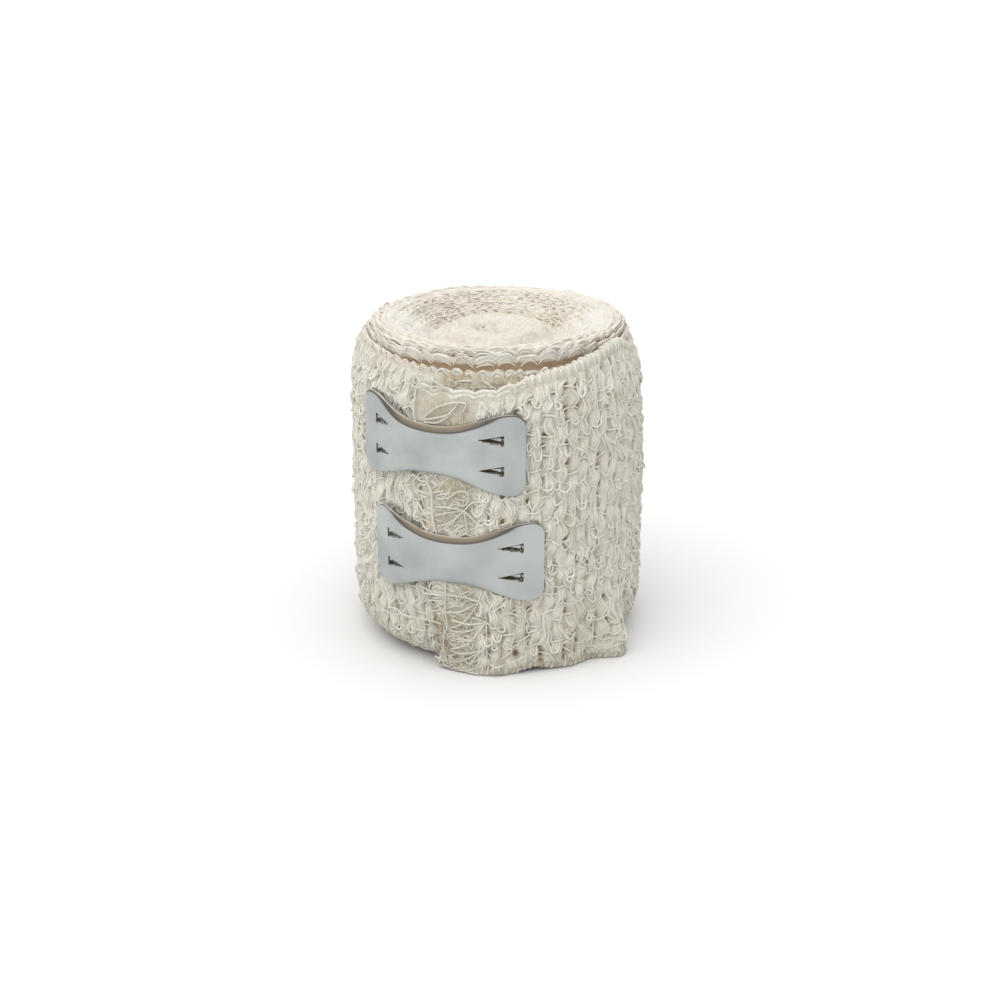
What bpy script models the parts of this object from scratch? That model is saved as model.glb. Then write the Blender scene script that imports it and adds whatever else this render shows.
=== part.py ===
"""A crepe bandage roll that stands on its end, its loose end held by two aluminium clips.

Metres, +Z up along the axis of the roll. The front, with the clips, faces -Y. An angle is counted
from the front (-Y) towards +X. The model's origin is the centre of the foot of its own box.
"""
import math
from collections import namedtuple

import bmesh
import bpy
from mathutils import Vector

MM = 0.001

# ---------------------------------------------------------------- driving dimensions
ROLL_RADIUS = 29.1 * MM        # where the roll's own outer turn starts, behind on the left
CLOTH = 1.1 * MM               # one relaxed layer of crepe
GAP = 0.3 * MM                 # clearance between pieces that touch
STEP_ANGLE = math.radians(-160.0)   # where the loose end leaves the roll, out of sight behind it

SEGMENTS = 60                  # round the roll

# One row for each turn, from the outside in: the radius at which it starts, at the step behind,
# and how deep the groove outside it is. The inner rows each stand for two or three real turns.
Turn = namedtuple("Turn", "radius groove")
TURNS = (
    Turn(ROLL_RADIUS, 0.9 * MM),
    Turn(27.7 * MM, 2.6 * MM),
    Turn(26.3 * MM, 1.2 * MM),
    Turn(24.9 * MM, 0.8 * MM),
    Turn(22.4 * MM, 0.5 * MM),
    Turn(19.8 * MM, 0.6 * MM),
    Turn(17.2 * MM, 0.8 * MM),
    Turn(14.4 * MM, 0.8 * MM),
    Turn(11.6 * MM, 0.6 * MM),
    Turn(8.6 * MM, 0.5 * MM),
    Turn(5.6 * MM, 0.4 * MM),
    Turn(2.8 * MM, 0.0 * MM),
)
# Where the points of a turn's rounded edge lie across it, and how far each sinks into the groove.
EdgePoint = namedtuple("EdgePoint", "across sink")
EDGE_POINTS = (EdgePoint(0.0, 1.0), EdgePoint(0.28, 0.12), EdgePoint(0.74, 0.10))

# Height of the upper end over the radius: centre dimple, inner ring, trench, dished wall, rim, shoulder.
Level = namedtuple("Level", "radius height")
UPPER_END = (
    Level(0.0 * MM, 63.1 * MM),
    Level(3.2 * MM, 63.1 * MM),
    Level(5.6 * MM, 64.3 * MM),
    Level(8.8 * MM, 64.4 * MM),
    Level(11.6 * MM, 62.7 * MM),
    Level(13.4 * MM, 62.5 * MM),
    Level(17.0 * MM, 64.1 * MM),
    Level(20.4 * MM, 65.6 * MM),
    Level(22.6 * MM, 66.2 * MM),
    Level(24.4 * MM, 66.1 * MM),
    Level(26.2 * MM, 65.3 * MM),
    Level(27.2 * MM, 64.0 * MM),
    Level(29.2 * MM, 63.2 * MM),
)
RIM_TILT = 0.3 * MM            # the upper end stands this much higher at the front, lower behind
# The lower end: the inner turns reach down to a flat foot, the outer turns stop higher up.
LOWER_END = (
    Level(0.0 * MM, 0.0 * MM),
    Level(22.5 * MM, 0.0 * MM),
    Level(24.2 * MM, 0.7 * MM),
    Level(26.0 * MM, 1.9 * MM),
    Level(27.4 * MM, 3.0 * MM),
    Level(29.2 * MM, 3.4 * MM),
)
FOOT_TURNS = 4                 # turns of the lower end that are shaped; inside them the foot is flat
FOOT_RADIUS = 22.5 * MM
# heights of the points of the wound side, as shares of its height
WALL_LEVELS = (0.04, 0.1, 0.25, 0.5, 0.75, 0.88, 0.95)
WALL_MIDDLE = 36.0 * MM
WALL_BULGE = 0.5 * MM          # the wound side stands out a little at mid height
OUT_OF_ROUND = 0.25 * MM       # the roll is pressed a little oval
SHOULDER_HEIGHT = 55.0 * MM    # from here up the side leans in
SHOULDER_LEAN = 1.3 * MM
FOOT_HEIGHT = 8.0 * MM         # from here down the side leans in, on the left and behind
FOOT_LEAN = 1.0 * MM
LEAN_RADIUS = 24.5 * MM        # turns inside this radius don't lean

# ---------------------------------------------------------------- the loose end
# A row for each place along the loose end: its angle, and the heights of its two selvedges.
Place = namedtuple("Place", "angle lower upper")
LOOSE_END = (
    Place(-33.0, 1.2 * MM, 59.6 * MM),
    Place(-15.0, 0.1 * MM, 59.5 * MM),
    Place(-4.0, 0.0 * MM, 59.6 * MM),
    Place(6.0, 0.2 * MM, 60.6 * MM),
    Place(14.0, 1.1 * MM, 62.0 * MM),
    Place(24.0, 0.3 * MM, 62.8 * MM),
    Place(42.0, 0.0 * MM, 64.2 * MM),
    Place(53.0, 0.0 * MM, 65.2 * MM),
    Place(62.0, 3.4 * MM, 64.9 * MM),
    Place(80.0, 4.2 * MM, 62.2 * MM),
    Place(125.0, 3.8 * MM, 61.2 * MM),
    Place(200.0, 3.4 * MM, 62.8 * MM),
)
CUT_LEAN = math.radians(11.0)  # the cut end runs this much further right at the foot than at the top
CUT_LEAN_FADE = 8.0            # the lean is gone after 1 / 8 of the loose end
# A row for each place where the foot of the cloth stands off the roll: its angle, how many degrees
# it runs on before and after that, how high it runs up, and how far it stands off.
Fold = namedtuple("Fold", "angle before after height reach")
FOLDS = (
    Fold(-3.0, 17.0, 12.0, 14.0 * MM, 1.1 * MM),   # soft swell at the front
    Fold(51.5, 13.0, 8.0, 16.0 * MM, 4.2 * MM),    # flap at the front right
    Fold(30.0, 12.0, 12.0, 11.0 * MM, 0.5 * MM),
    Fold(95.0, 20.0, 18.0, 14.0 * MM, 0.6 * MM),
)
LOOSE_COLUMNS = 56
LOOSE_ROWS = 12

# ---------------------------------------------------------------- the clips
Clip = namedtuple("Clip", "name angle height tilt")
CLIPS = (
    Clip("clip_upper", math.radians(-24.4), 47.6 * MM, math.radians(-1.2)),
    Clip("clip_lower", math.radians(-17.4), 25.0 * MM, 0.0),
)
CLIP_LENGTH = 37.2 * MM        # along its curve
CLIP_END = 16.4 * MM           # height of the wide ends
CLIP_WAIST = 9.8 * MM          # height at the middle
CLIP_CORNER = 2.6 * MM         # radius of the corners of the wide ends
CLIP_SHEET = 0.5 * MM          # thickness of the metal
CLIP_LIP = 1.4 * MM            # width of the stiffening lip along the waist
CLIP_LIP_DROP = 0.6 * MM       # how far the lip bends towards the cloth
CLIP_STAND = CLIP_LIP_DROP + GAP    # the plate above the cloth that carries it
CLIP_RADIUS = 30.9 * MM        # mean radius of its curve
CLIP_DIP_FROM = math.radians(-52.0)     # left of here the plate lies on the roll itself,
CLIP_DIP_TO = math.radians(-35.0)       # and from here on it lies on the loose end
CLIP_COLUMNS = 36
CLIP_CORNER_COLUMNS = 5        # of these, round the corners of each end
CLIP_ROWS = 8

TOOTH_PLACE = 9.6 * MM         # apex of a tooth's hole, from the clip's middle
TOOTH_LENGTH = 4.9 * MM
TOOTH_BASE = 1.9 * MM
TOOTH_HEIGHT = 3.1 * MM        # above or below the clip's middle line
TOOTH_REACH = 3.0 * MM         # length of the bent tooth itself, along the cloth
TOOTH_DROP = 1.75 * MM         # how deep it bites below the plate
TOOTH_ROOT = 0.3 * MM          # how far it runs into the plate past its hole
TOOTH_SHEET = 0.4 * MM
TOOTH_INSET = 0.05 * MM        # keeps its faces clear of the plate's own faces
HOLE_MARGIN = 1.0 * MM         # by which a hole's cutter stands out of the plate

COTTON = (0.79, 0.75, 0.66)
ALUMINIUM = (0.72, 0.74, 0.75)


# ---------------------------------------------------------------- small tools
def at(angle, radius, height):
    """The point at this angle from the front, this radius and height."""
    return Vector((radius * math.sin(angle), -radius * math.cos(angle), height))


def ease(share):
    """0 to 1 with flat ends."""
    share = min(max(share, 0.0), 1.0)
    return share * share * (3.0 - 2.0 * share)


def read_table(rows, key, value, where):
    """The value column at this place of the key column, eased between the rows."""
    if where <= getattr(rows[0], key):
        return getattr(rows[0], value)
    for row, after in zip(rows, rows[1:]):
        if where <= getattr(after, key):
            share = (where - getattr(row, key)) / (getattr(after, key) - getattr(row, key))
            return getattr(row, value) + (getattr(after, value) - getattr(row, value)) * ease(share)
    return getattr(rows[-1], value)


def new_collection(name):
    collection = bpy.data.collections.new(name)
    bpy.context.scene.collection.children.link(collection)
    return collection


def new_material(name, colour, roughness, metallic):
    material = bpy.data.materials.new(name)
    material.use_nodes = True
    shader = material.node_tree.nodes["Principled BSDF"]
    shader.inputs["Base Color"].default_value = (*colour, 1.0)
    shader.inputs["Roughness"].default_value = roughness
    shader.inputs["Metallic"].default_value = metallic
    return material


def new_object(name, bm, collection):
    """An object of this mesh, its faces turned outwards."""
    bmesh.ops.recalc_face_normals(bm, faces=bm.faces)
    mesh = bpy.data.meshes.new(name)
    bm.to_mesh(mesh)
    bm.free()
    obj = bpy.data.objects.new(name, mesh)
    collection.objects.link(obj)
    return obj


def mapped_grid(columns, rows, place):
    """A grid of quads with point (i, j) moved to place(i, j)."""
    bm = bmesh.new()
    bmesh.ops.create_grid(bm, x_segments=columns, y_segments=rows, size=0.5)
    for vertex in bm.verts:
        i = round((vertex.co.x + 0.5) * columns)
        j = round((vertex.co.y + 0.5) * rows)
        vertex.co = place(i, j)
    return bm


def smooth(obj, sharp_angle):
    obj.data.shade_smooth()
    obj.data.set_sharp_from_angle(angle=math.radians(sharp_angle))


def add_boolean(obj, other, operation):
    modifier = obj.modifiers.new(operation.lower(), "BOOLEAN")
    modifier.operation = operation
    modifier.object = other


def thicken_outwards(obj, thickness):
    """Give an open surface round the roll's axis a wall on its outer side."""
    middle = obj.data.polygons[len(obj.data.polygons) // 2]
    faces_out = middle.normal.x * middle.center.x + middle.normal.y * middle.center.y > 0.0
    modifier = obj.modifiers.new("thickness", "SOLIDIFY")
    modifier.thickness = thickness
    modifier.offset = 1.0 if faces_out else -1.0
    modifier.use_even_offset = True


# ---------------------------------------------------------------- the roll
def turn_radius(turns_in):
    """Radius after so many turns inwards from the step behind: straight runs between TURNS."""
    whole = min(int(turns_in), len(TURNS) - 2)
    share = min(turns_in - whole, 1.0)
    return TURNS[whole].radius + (TURNS[whole + 1].radius - TURNS[whole].radius) * share


def groove_depth(turns_in):
    whole = min(int(turns_in), len(TURNS) - 2)
    share = min(turns_in - whole, 1.0)
    return TURNS[whole].groove + (TURNS[whole + 1].groove - TURNS[whole].groove) * share


def turned(angle):
    """Share of a whole turn from the step behind, over the left side and the front."""
    return (angle - STEP_ANGLE) / (2.0 * math.pi)


def oval(angle):
    return OUT_OF_ROUND * math.cos(2.0 * angle + 0.6)


def foot_lean(angle):
    return FOOT_LEAN * ease(0.2 - 1.5 * math.sin(angle))


def side_radius(angle, height):
    """The wound side of the roll, under the loose end too."""
    bulge = WALL_BULGE * max(1.0 - ((height - WALL_MIDDLE) / WALL_MIDDLE) ** 2, 0.0)
    shoulder = SHOULDER_LEAN * ease((height - SHOULDER_HEIGHT) / (UPPER_END[-1].height - SHOULDER_HEIGHT))
    foot = foot_lean(angle) * ease((FOOT_HEIGHT - height) / (FOOT_HEIGHT - LOWER_END[-1].height))
    return turn_radius(turned(angle)) + oval(angle) + bulge - shoulder - foot


def end_radius(angle, radius, lean):
    """A radius on one of the ends, where the outer turns lean in as the side does."""
    outer = ease((radius - LEAN_RADIUS) / (TURNS[1].radius - LEAN_RADIUS))
    return radius + oval(angle) * radius / ROLL_RADIUS - lean * outer


def upper_height(radius, angle):
    tilt = RIM_TILT * math.cos(angle) * radius / ROLL_RADIUS
    return read_table(UPPER_END, "radius", "height", radius) + tilt


def lower_height(radius):
    return read_table(LOWER_END, "radius", "height", radius)


def roll_stations():
    """The points of one cross-section, from the foot's middle over the side to the upper middle."""
    foot = [("lower", turn + point.across, point.sink)
            for turn in range(FOOT_TURNS) for point in EDGE_POINTS]
    wall = [("wall", level, 0.0) for level in WALL_LEVELS]
    upper = [("upper", turn + point.across, point.sink)
             for turn in range(len(TURNS) - 2) for point in EDGE_POINTS]
    return foot[::-1] + wall + upper


def build_roll(collection):
    stations = roll_stations()

    def place(i, j):
        share = i / SEGMENTS
        angle = STEP_ANGLE + share * 2.0 * math.pi
        kind, amount, sink = stations[j]
        if kind == "wall":
            radius = turn_radius(share)
            low = lower_height(radius) + groove_depth(share)
            high = upper_height(radius, angle) - groove_depth(share)
            height = low + amount * (high - low)
            return at(angle, side_radius(angle, height), height)
        radius = turn_radius(amount + share)
        drop = sink * groove_depth(amount + share)
        if kind == "upper":
            height = upper_height(radius, angle) - drop
            return at(angle, end_radius(angle, radius, SHOULDER_LEAN), height)
        height = lower_height(radius) + drop * ease((radius - FOOT_RADIUS) / (2.0 * MM))
        return at(angle, end_radius(angle, radius, foot_lean(angle)), height)

    bm = mapped_grid(SEGMENTS, len(stations) - 1, place)
    bmesh.ops.remove_doubles(bm, verts=bm.verts, dist=0.0005 * MM)
    open_edges = [edge for edge in bm.edges if edge.is_boundary]
    bmesh.ops.holes_fill(bm, edges=open_edges, sides=0)
    bmesh.ops.triangulate(bm, faces=[face for face in bm.faces if len(face.verts) > 4])
    roll = new_object("bandage_roll", bm, collection)
    smooth(roll, 50.0)
    return roll


# ---------------------------------------------------------------- the loose end
def fold_reach(angle, height):
    """How far the cloth stands off the roll here: each fold is a bump in angle that fades upwards."""
    reach = 0.0
    degrees = math.degrees(angle)
    for fold in FOLDS:
        width = fold.before if degrees < fold.angle else fold.after
        sideways = ease(1.0 - abs(degrees - fold.angle) / width)
        upwards = ease(1.0 - height / fold.height)
        reach += fold.reach * sideways * upwards
    return reach


def build_loose_end(collection):
    start = math.radians(LOOSE_END[0].angle)
    stop = STEP_ANGLE + 2.0 * math.pi - (GAP + 0.1 * MM) / ROLL_RADIUS

    def place(i, j):
        share = i / LOOSE_COLUMNS
        along = j / LOOSE_ROWS
        angle = start + (stop - start) * share
        degrees = math.degrees(angle)
        low = read_table(LOOSE_END, "angle", "lower", degrees)
        high = read_table(LOOSE_END, "angle", "upper", degrees)
        height = low + (high - low) * along
        angle += CUT_LEAN * (1.0 - along) * ease(1.0 - share * CUT_LEAN_FADE)
        return at(angle, side_radius(angle, height) + GAP + fold_reach(angle, height), height)

    bm = mapped_grid(LOOSE_COLUMNS, LOOSE_ROWS, place)
    loose = new_object("loose_end", bm, collection)
    thicken_outwards(loose, CLOTH)
    smooth(loose, 50.0)
    return loose


# ---------------------------------------------------------------- the clips
def clip_half_height(along):
    """Half height of the bow-tie outline at this distance from its middle."""
    half_length = 0.5 * CLIP_LENGTH
    crown = half_length - CLIP_CORNER
    distance = abs(along)
    share = min(distance / crown, 1.0)
    half = 0.5 * (CLIP_WAIST + (CLIP_END - CLIP_WAIST) * 0.5 * (1.0 - math.cos(math.pi * share ** 1.25)))
    if distance > crown:
        half -= CLIP_CORNER - math.sqrt(max(CLIP_CORNER ** 2 - (distance - crown) ** 2, 0.0))
    return half


def clip_point(clip, along, up, lift):
    """A point of the clip: along its curve, up its width, lift out of its lower face."""
    angle = clip.angle + along / CLIP_RADIUS
    height = clip.height + up + along * math.tan(clip.tilt)
    on_cloth = (GAP + CLOTH) * ease((angle - CLIP_DIP_FROM) / (CLIP_DIP_TO - CLIP_DIP_FROM))
    return at(angle, side_radius(angle, height) + on_cloth + CLIP_STAND + lift, height)


def clip_prism(name, clip, outline, low, high, collection):
    """A prism through the clip: outline rows are (along, up, extra lift of its lower and upper face)."""
    bm = bmesh.new()
    lower = [bm.verts.new(clip_point(clip, along, up, low + lift)) for along, up, lift in outline]
    upper = [bm.verts.new(clip_point(clip, along, up, high + lift)) for along, up, lift in outline]
    bm.faces.new(lower)
    bm.faces.new(upper)
    for index in range(len(outline)):
        after = (index + 1) % len(outline)
        bm.faces.new((lower[index], lower[after], upper[after], upper[index]))
    return new_object(name, bm, collection)


def build_clip(clip, collection, cutters):
    crown = 0.5 * CLIP_LENGTH - CLIP_CORNER

    def column_place(i):
        """Even columns along the plate, and closer ones round each corner."""
        inner = CLIP_COLUMNS - 2 * CLIP_CORNER_COLUMNS
        past = abs(i - 0.5 * CLIP_COLUMNS) - 0.5 * inner
        if past <= 0.0:
            return crown * (2.0 * (i - CLIP_CORNER_COLUMNS) / inner - 1.0)
        side = 1.0 if i > CLIP_CORNER_COLUMNS else -1.0
        return side * (crown + CLIP_CORNER * math.sin(0.5 * math.pi * past / CLIP_CORNER_COLUMNS))

    def place(i, j):
        along = column_place(i)
        half = clip_half_height(along)
        lip = CLIP_LIP / half
        across = 2.0 * j / CLIP_ROWS - 1.0
        at_waist = ease(1.35 * (1.0 - abs(along) / crown))
        bend = max(abs(across) - (1.0 - lip), 0.0) / lip
        return clip_point(clip, along, half * across, -CLIP_LIP_DROP * at_waist * bend)

    plate = new_object(clip.name, mapped_grid(CLIP_COLUMNS, CLIP_ROWS, place), collection)
    thicken_outwards(plate, CLIP_SHEET)

    pockets = []
    for side in (-1.0, 1.0):
        for level in (-1.0, 1.0):
            label = f"{clip.name}_{'left' if side < 0 else 'right'}_{'low' if level < 0 else 'high'}"
            apex = side * TOOTH_PLACE
            base = side * (TOOTH_PLACE + TOOTH_LENGTH)
            tip = side * (TOOTH_PLACE + TOOTH_LENGTH - TOOTH_REACH)
            root = base + side * TOOTH_ROOT
            up = level * TOOTH_HEIGHT
            half = 0.5 * TOOTH_BASE
            hole = clip_prism(label + "_hole", clip,
                              [(apex, up, 0.0), (base, up - half, 0.0), (base, up + half, 0.0)],
                              -HOLE_MARGIN, CLIP_SHEET + HOLE_MARGIN, cutters)
            root_half = 0.9 * half
            tooth = clip_prism(label + "_tooth", clip,
                               [(tip, up, -TOOTH_DROP), (root, up - root_half, 0.0),
                                (root, up + root_half, 0.0)],
                               TOOTH_INSET, TOOTH_INSET + TOOTH_SHEET, cutters)
            add_boolean(plate, hole, "DIFFERENCE")
            add_boolean(plate, tooth, "UNION")
            room = half + GAP
            near = tip - side * 2.0 * GAP
            far = root + side * GAP
            pocket = clip_prism(label + "_pocket", clip,
                                [(near, up - room, 0.0), (far, up - room, 0.0),
                                 (far, up + room, 0.0), (near, up + room, 0.0)],
                                -TOOTH_DROP - GAP, CLIP_SHEET, cutters)
            pockets.append((side, pocket))
    smooth(plate, 40.0)
    return plate, pockets


# ---------------------------------------------------------------- putting it together
def main():
    for obj in list(bpy.data.objects):
        bpy.data.objects.remove(obj, do_unlink=True)

    parts = new_collection("crepe_bandage_roll")
    cutters = new_collection("cutters")
    cotton = new_material("cotton_crepe", COTTON, 0.95, 0.0)
    aluminium = new_material("pressed_aluminium", ALUMINIUM, 0.35, 1.0)

    roll = build_roll(parts)
    loose = build_loose_end(parts)
    roll.data.materials.append(cotton)
    loose.data.materials.append(cotton)
    for clip in CLIPS:
        plate, pockets = build_clip(clip, parts, cutters)
        plate.data.materials.append(aluminium)
        for side, pocket in pockets:
            add_boolean(roll if side < 0.0 else loose, pocket, "DIFFERENCE")
    for cutter in cutters.objects:
        cutter.hide_render = True
        cutter.display_type = "WIRE"

    # the empty puts the middle of the whole part's foot on the origin
    graph = bpy.context.evaluated_depsgraph_get()
    corners = []
    for obj in parts.objects:
        corners += [obj.matrix_world @ vertex.co for vertex in obj.evaluated_get(graph).data.vertices]
    centre = [0.5 * (min(c[axis] for c in corners) + max(c[axis] for c in corners)) for axis in (0, 1)]
    lowest = min(corner.z for corner in corners)
    stand = bpy.data.objects.new("stand", None)
    parts.objects.link(stand)
    stand.location = (-centre[0], -centre[1], -lowest)
    for obj in [*parts.objects, *cutters.objects]:
        if obj is not stand:
            obj.parent = stand
    bpy.context.view_layer.update()


main()
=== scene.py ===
"""Looks of a crepe bandage roll: woven and crinkled cotton cloth, looped selvedges, frayed cut end
and two pressed aluminium clips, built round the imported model.

Lengths are in millimetres until they are put into a mesh. An angle is counted from the front (-Y)
towards +X, about the axis of the roll.
"""

import bmesh
import bpy
import numpy as np
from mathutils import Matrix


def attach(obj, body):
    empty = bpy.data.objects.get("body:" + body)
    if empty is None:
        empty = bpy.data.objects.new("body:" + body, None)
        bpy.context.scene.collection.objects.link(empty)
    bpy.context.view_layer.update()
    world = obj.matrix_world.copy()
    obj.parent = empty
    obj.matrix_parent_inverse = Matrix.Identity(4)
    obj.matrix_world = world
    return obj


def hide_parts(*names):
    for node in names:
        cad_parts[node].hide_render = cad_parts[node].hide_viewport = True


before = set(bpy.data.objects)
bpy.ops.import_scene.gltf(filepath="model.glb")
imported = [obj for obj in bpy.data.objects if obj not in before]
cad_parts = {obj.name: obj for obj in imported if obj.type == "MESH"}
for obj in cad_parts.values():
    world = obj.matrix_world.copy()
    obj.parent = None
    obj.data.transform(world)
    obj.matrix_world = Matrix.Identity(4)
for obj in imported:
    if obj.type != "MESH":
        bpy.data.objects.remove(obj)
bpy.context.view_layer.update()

# ------------------------------------------------------------------ studio
# A plain white table and backdrop in soft daylight from above and the left, as a product photo is
# lit. The camera looks down on the roll by about twenty degrees through a long lens.
MM = 0.001
CAMERA_TILT = np.radians(20.38)
CAMERA_DISTANCE = 430.3
CAMERA_AIM = np.array([-0.38, 1.04, 30.0])
FOCAL_LENGTH = 2.0522          # in picture widths
PICTURE_SHIFT = (0.00306, -0.0171)


def linear(hex_colour):
    """sRGB hex to linear RGBA: c / 12.92 below 0.04045, else ((c + 0.055) / 1.055) ** 2.4."""
    value = np.array([int(hex_colour[i:i + 2], 16) for i in (1, 3, 5)]) / 255.0
    value = np.where(value <= 0.04045, value / 12.92, ((value + 0.055) / 1.055) ** 2.4)
    return (*value.tolist(), 1.0)


def new_material(name):
    """A material with only its output and a Principled shader; returns (material, tree, shader)."""
    material = bpy.data.materials.new(name)
    material.use_nodes = True
    return material, material.node_tree, material.node_tree.nodes["Principled BSDF"]


def add_node(tree, kind, settings=(), **inputs):
    """Adds one node: settings are its attributes, an input is a value or a socket to link from, and
    i0, i1 ... stand for the inputs by their number."""
    node = tree.nodes.new("ShaderNode" + kind)
    for key, value in dict(settings).items():
        setattr(node, key, value)
    for key, value in inputs.items():
        name = int(key[1:]) if key[1:].isdigit() else key
        if isinstance(value, bpy.types.NodeSocket):
            tree.links.new(value, node.inputs[name])
        else:
            node.inputs[name].default_value = value
    return node


def add_object(name, data):
    """An object of this data, linked into the scene."""
    obj = bpy.data.objects.new(name, data)
    bpy.context.scene.collection.objects.link(obj)
    return obj


def add_light(name, energy, spread, tilt, heading, colour):
    """Daylight from a patch of sky this wide, at this tilt above the table and this heading."""
    data = bpy.data.lights.new(name, "SUN")
    data.energy = energy
    data.color = linear(colour)[:3]
    data.angle = spread
    light = add_object(name, data)
    light.rotation_euler = (np.radians(90.0 - tilt), 0.0, np.radians(heading))


camera_data = bpy.data.cameras.new("camera")
camera_data.sensor_width = 36.0
camera_data.lens = 36.0 * FOCAL_LENGTH
camera_data.shift_x, camera_data.shift_y = PICTURE_SHIFT
camera_data.clip_start = 0.02
camera = add_object("camera", camera_data)
back = np.array([0.0, -np.cos(CAMERA_TILT), np.sin(CAMERA_TILT)])
camera.location = (CAMERA_AIM + CAMERA_DISTANCE * back) * MM
camera.rotation_euler = (np.pi / 2.0 - CAMERA_TILT, 0.0, 0.0)
bpy.context.scene.camera = camera

floor_mesh = bpy.data.meshes.new("floor")
floor_mesh.from_pydata([(-6, -6, 0), (6, -6, 0), (6, 6, 0), (-6, 6, 0)], [], [(0, 1, 2, 3)])
floor = add_object("floor", floor_mesh)
floor_material, _, floor_shader = new_material("matt_white_table")
floor_shader.inputs["Base Color"].default_value = linear("#DCDCDC")
floor_shader.inputs["Roughness"].default_value = 0.9
floor_shader.inputs["Specular IOR Level"].default_value = 0.1
floor_mesh.materials.append(floor_material)

world = bpy.data.worlds.new("studio")
bpy.context.scene.world = world
world.use_nodes = True
world.node_tree.nodes["Background"].inputs["Color"].default_value = linear("#FBFCFF")
world.node_tree.nodes["Background"].inputs["Strength"].default_value = 0.66
add_light("skylight", 2.2, np.radians(95.0), 82.0, -20.0, "#FFFDFA")
add_light("front_window", 0.95, np.radians(80.0), 42.0, -38.0, "#FFFDFA")
bpy.context.scene.view_settings.view_transform = "Standard"

# ------------------------------------------------------------------ roll of cloth
# About two metres of unbleached cotton crepe, 60 mm wide, wound by hand into a roll that stands on
# its end. Its turns have crept along one another, so that the upper end is dished round a rim.
AXIS = CAMERA_AIM[:2]                  # of the roll, at which the camera is aimed
ROLL_RADIUS = 29.1
ARC_RADIUS = 29.5                      # turns angles on the wound side into millimetres
STEP_ANGLE = np.radians(-160.0)        # where the loose end leaves the roll, behind it
TURN_RADII = np.concatenate(([29.1, 27.7, 26.3], np.linspace(24.9, 0.5, 21)))
TURNS = len(TURN_RADII) - 2
CLOTH = 1.1                            # thickness of the cloth
CLOTH_WIDTH = 60.0
GAP = 0.3                              # between the roll and the loose end
UPPER_END = np.array([        # radius, height: dimple, inner ring, trench, dished wall, rim, shoulder
    (0.0, 62.7), (3.0, 62.8), (5.6, 64.2), (8.8, 64.4), (11.6, 62.5), (13.4, 62.2), (17.0, 63.9),
    (20.4, 65.6), (22.6, 66.2), (24.4, 66.1), (26.2, 65.3), (27.2, 64.0), (29.2, 63.2)]).T
LOWER_END = np.array([        # radius, height: flat foot, then turns that stop higher up
    (0.0, 0.0), (22.5, 0.0), (24.2, 0.7), (26.0, 1.9), (27.4, 3.0), (29.2, 3.4)]).T
RIM_TILT = 0.3                         # the rim's front is higher by this, its back lower
END_LEAN = 1.3                         # the outer turns lean inwards by this at the upper end
EDGE_TURNS = np.array([       # turns in, loop pitch, groove depth, loop height
    (0.0, 2.5, 0.8, 0.6), (0.9, 2.5, 1.1, 0.7), (1.1, 4.3, 1.1, 0.8), (2.0, 3.6, 0.8, 0.5),
    (3.0, 3.2, 0.3, 0.35), (5.0, 2.6, 0.05, 0.22), (TURNS + 1.0, 2.4, 0.05, 0.22)]).T
CLIPS = ((-24.4, 47.6, -1.2), (-17.4, 25.0, 0.0))      # degrees, height, tilt in degrees
CLIP_RADIUS = 30.9
CLIP_CROWN = 16.0                      # from a clip's middle to its widest place
CLIP_CORNER = 2.6
TOOTH_RISE = 3.1                       # from a clip's middle line up or down to its teeth
DENT_PLACE = 12.6                      # from its middle to where they bite


def ease(share):
    """0 to 1 with flat ends: 3 s^2 - 2 s^3."""
    share = np.clip(share, 0.0, 1.0)
    return share * share * (3.0 - 2.0 * share)


def eased_table(where, table):
    """Value at this place of a (key, value) table, eased between its rows."""
    keys, values = table
    row = np.clip(np.searchsorted(keys, where) - 1, 0, len(keys) - 2)
    share = (where - keys[row]) / (keys[row + 1] - keys[row])
    return values[row] + (values[row + 1] - values[row]) * ease(share)


def value_noise(table, number, where):
    """Random values at whole places along the numbered rows of a table, eased in between."""
    whole = np.clip(np.floor(where).astype(int), 0, table.shape[1] - 2)
    before = table[number, whole]
    return before + (table[number, whole + 1] - before) * ease(where - whole)


def turn_radius(turns_in):
    """Radius of the spiral this many turns in from where the loose end leaves it."""
    return np.interp(turns_in, np.arange(len(TURN_RADII)), TURN_RADII)


def oval(angle):
    """How far the roll is out of round: a cosine of twice the angle."""
    return 0.25 * np.cos(2.0 * angle + 0.6)


def foot_lean(angle):
    """How far the foot leans in: by a millimetre on the left, not at all on the right."""
    return ease(0.2 - 1.5 * np.sin(angle))


def clip_half(along):
    """Half height of a clip's bow tie: from the waist to the wide end by half a cosine of the share
    to the power 1.25, less a round corner past the crown."""
    share = np.clip(np.abs(along) / CLIP_CROWN, 0.0, 1.0)
    past = np.clip(np.abs(along) - CLIP_CROWN, 0.0, CLIP_CORNER)
    return (4.9 + 1.65 * (1.0 - np.cos(np.pi * share ** 1.25))
            - CLIP_CORNER + np.sqrt(CLIP_CORNER ** 2 - past ** 2))


def on_clip(clip, angle, height):
    """Place along and up a clip, from its middle, of a place on the roll."""
    along = (angle - np.radians(clip[0])) * CLIP_RADIUS
    return along, height - clip[1] - along * np.tan(np.radians(clip[2]))


def clip_room(angle, height):
    """How far the yarn may stand off the cloth: nearly nothing under a clip, all of it beyond."""
    room = np.full(np.broadcast(angle, height).shape, 9.0)
    for clip in CLIPS:
        along, up = on_clip(clip, angle, height)
        beyond = np.maximum(np.abs(along) - CLIP_CROWN - CLIP_CORNER, np.abs(up) - clip_half(along))
        room = np.minimum(room, 0.03 + 1.4 * ease((beyond + 0.1) / 1.6) + 9.0 * (beyond > 1.5))
    return room


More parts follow.
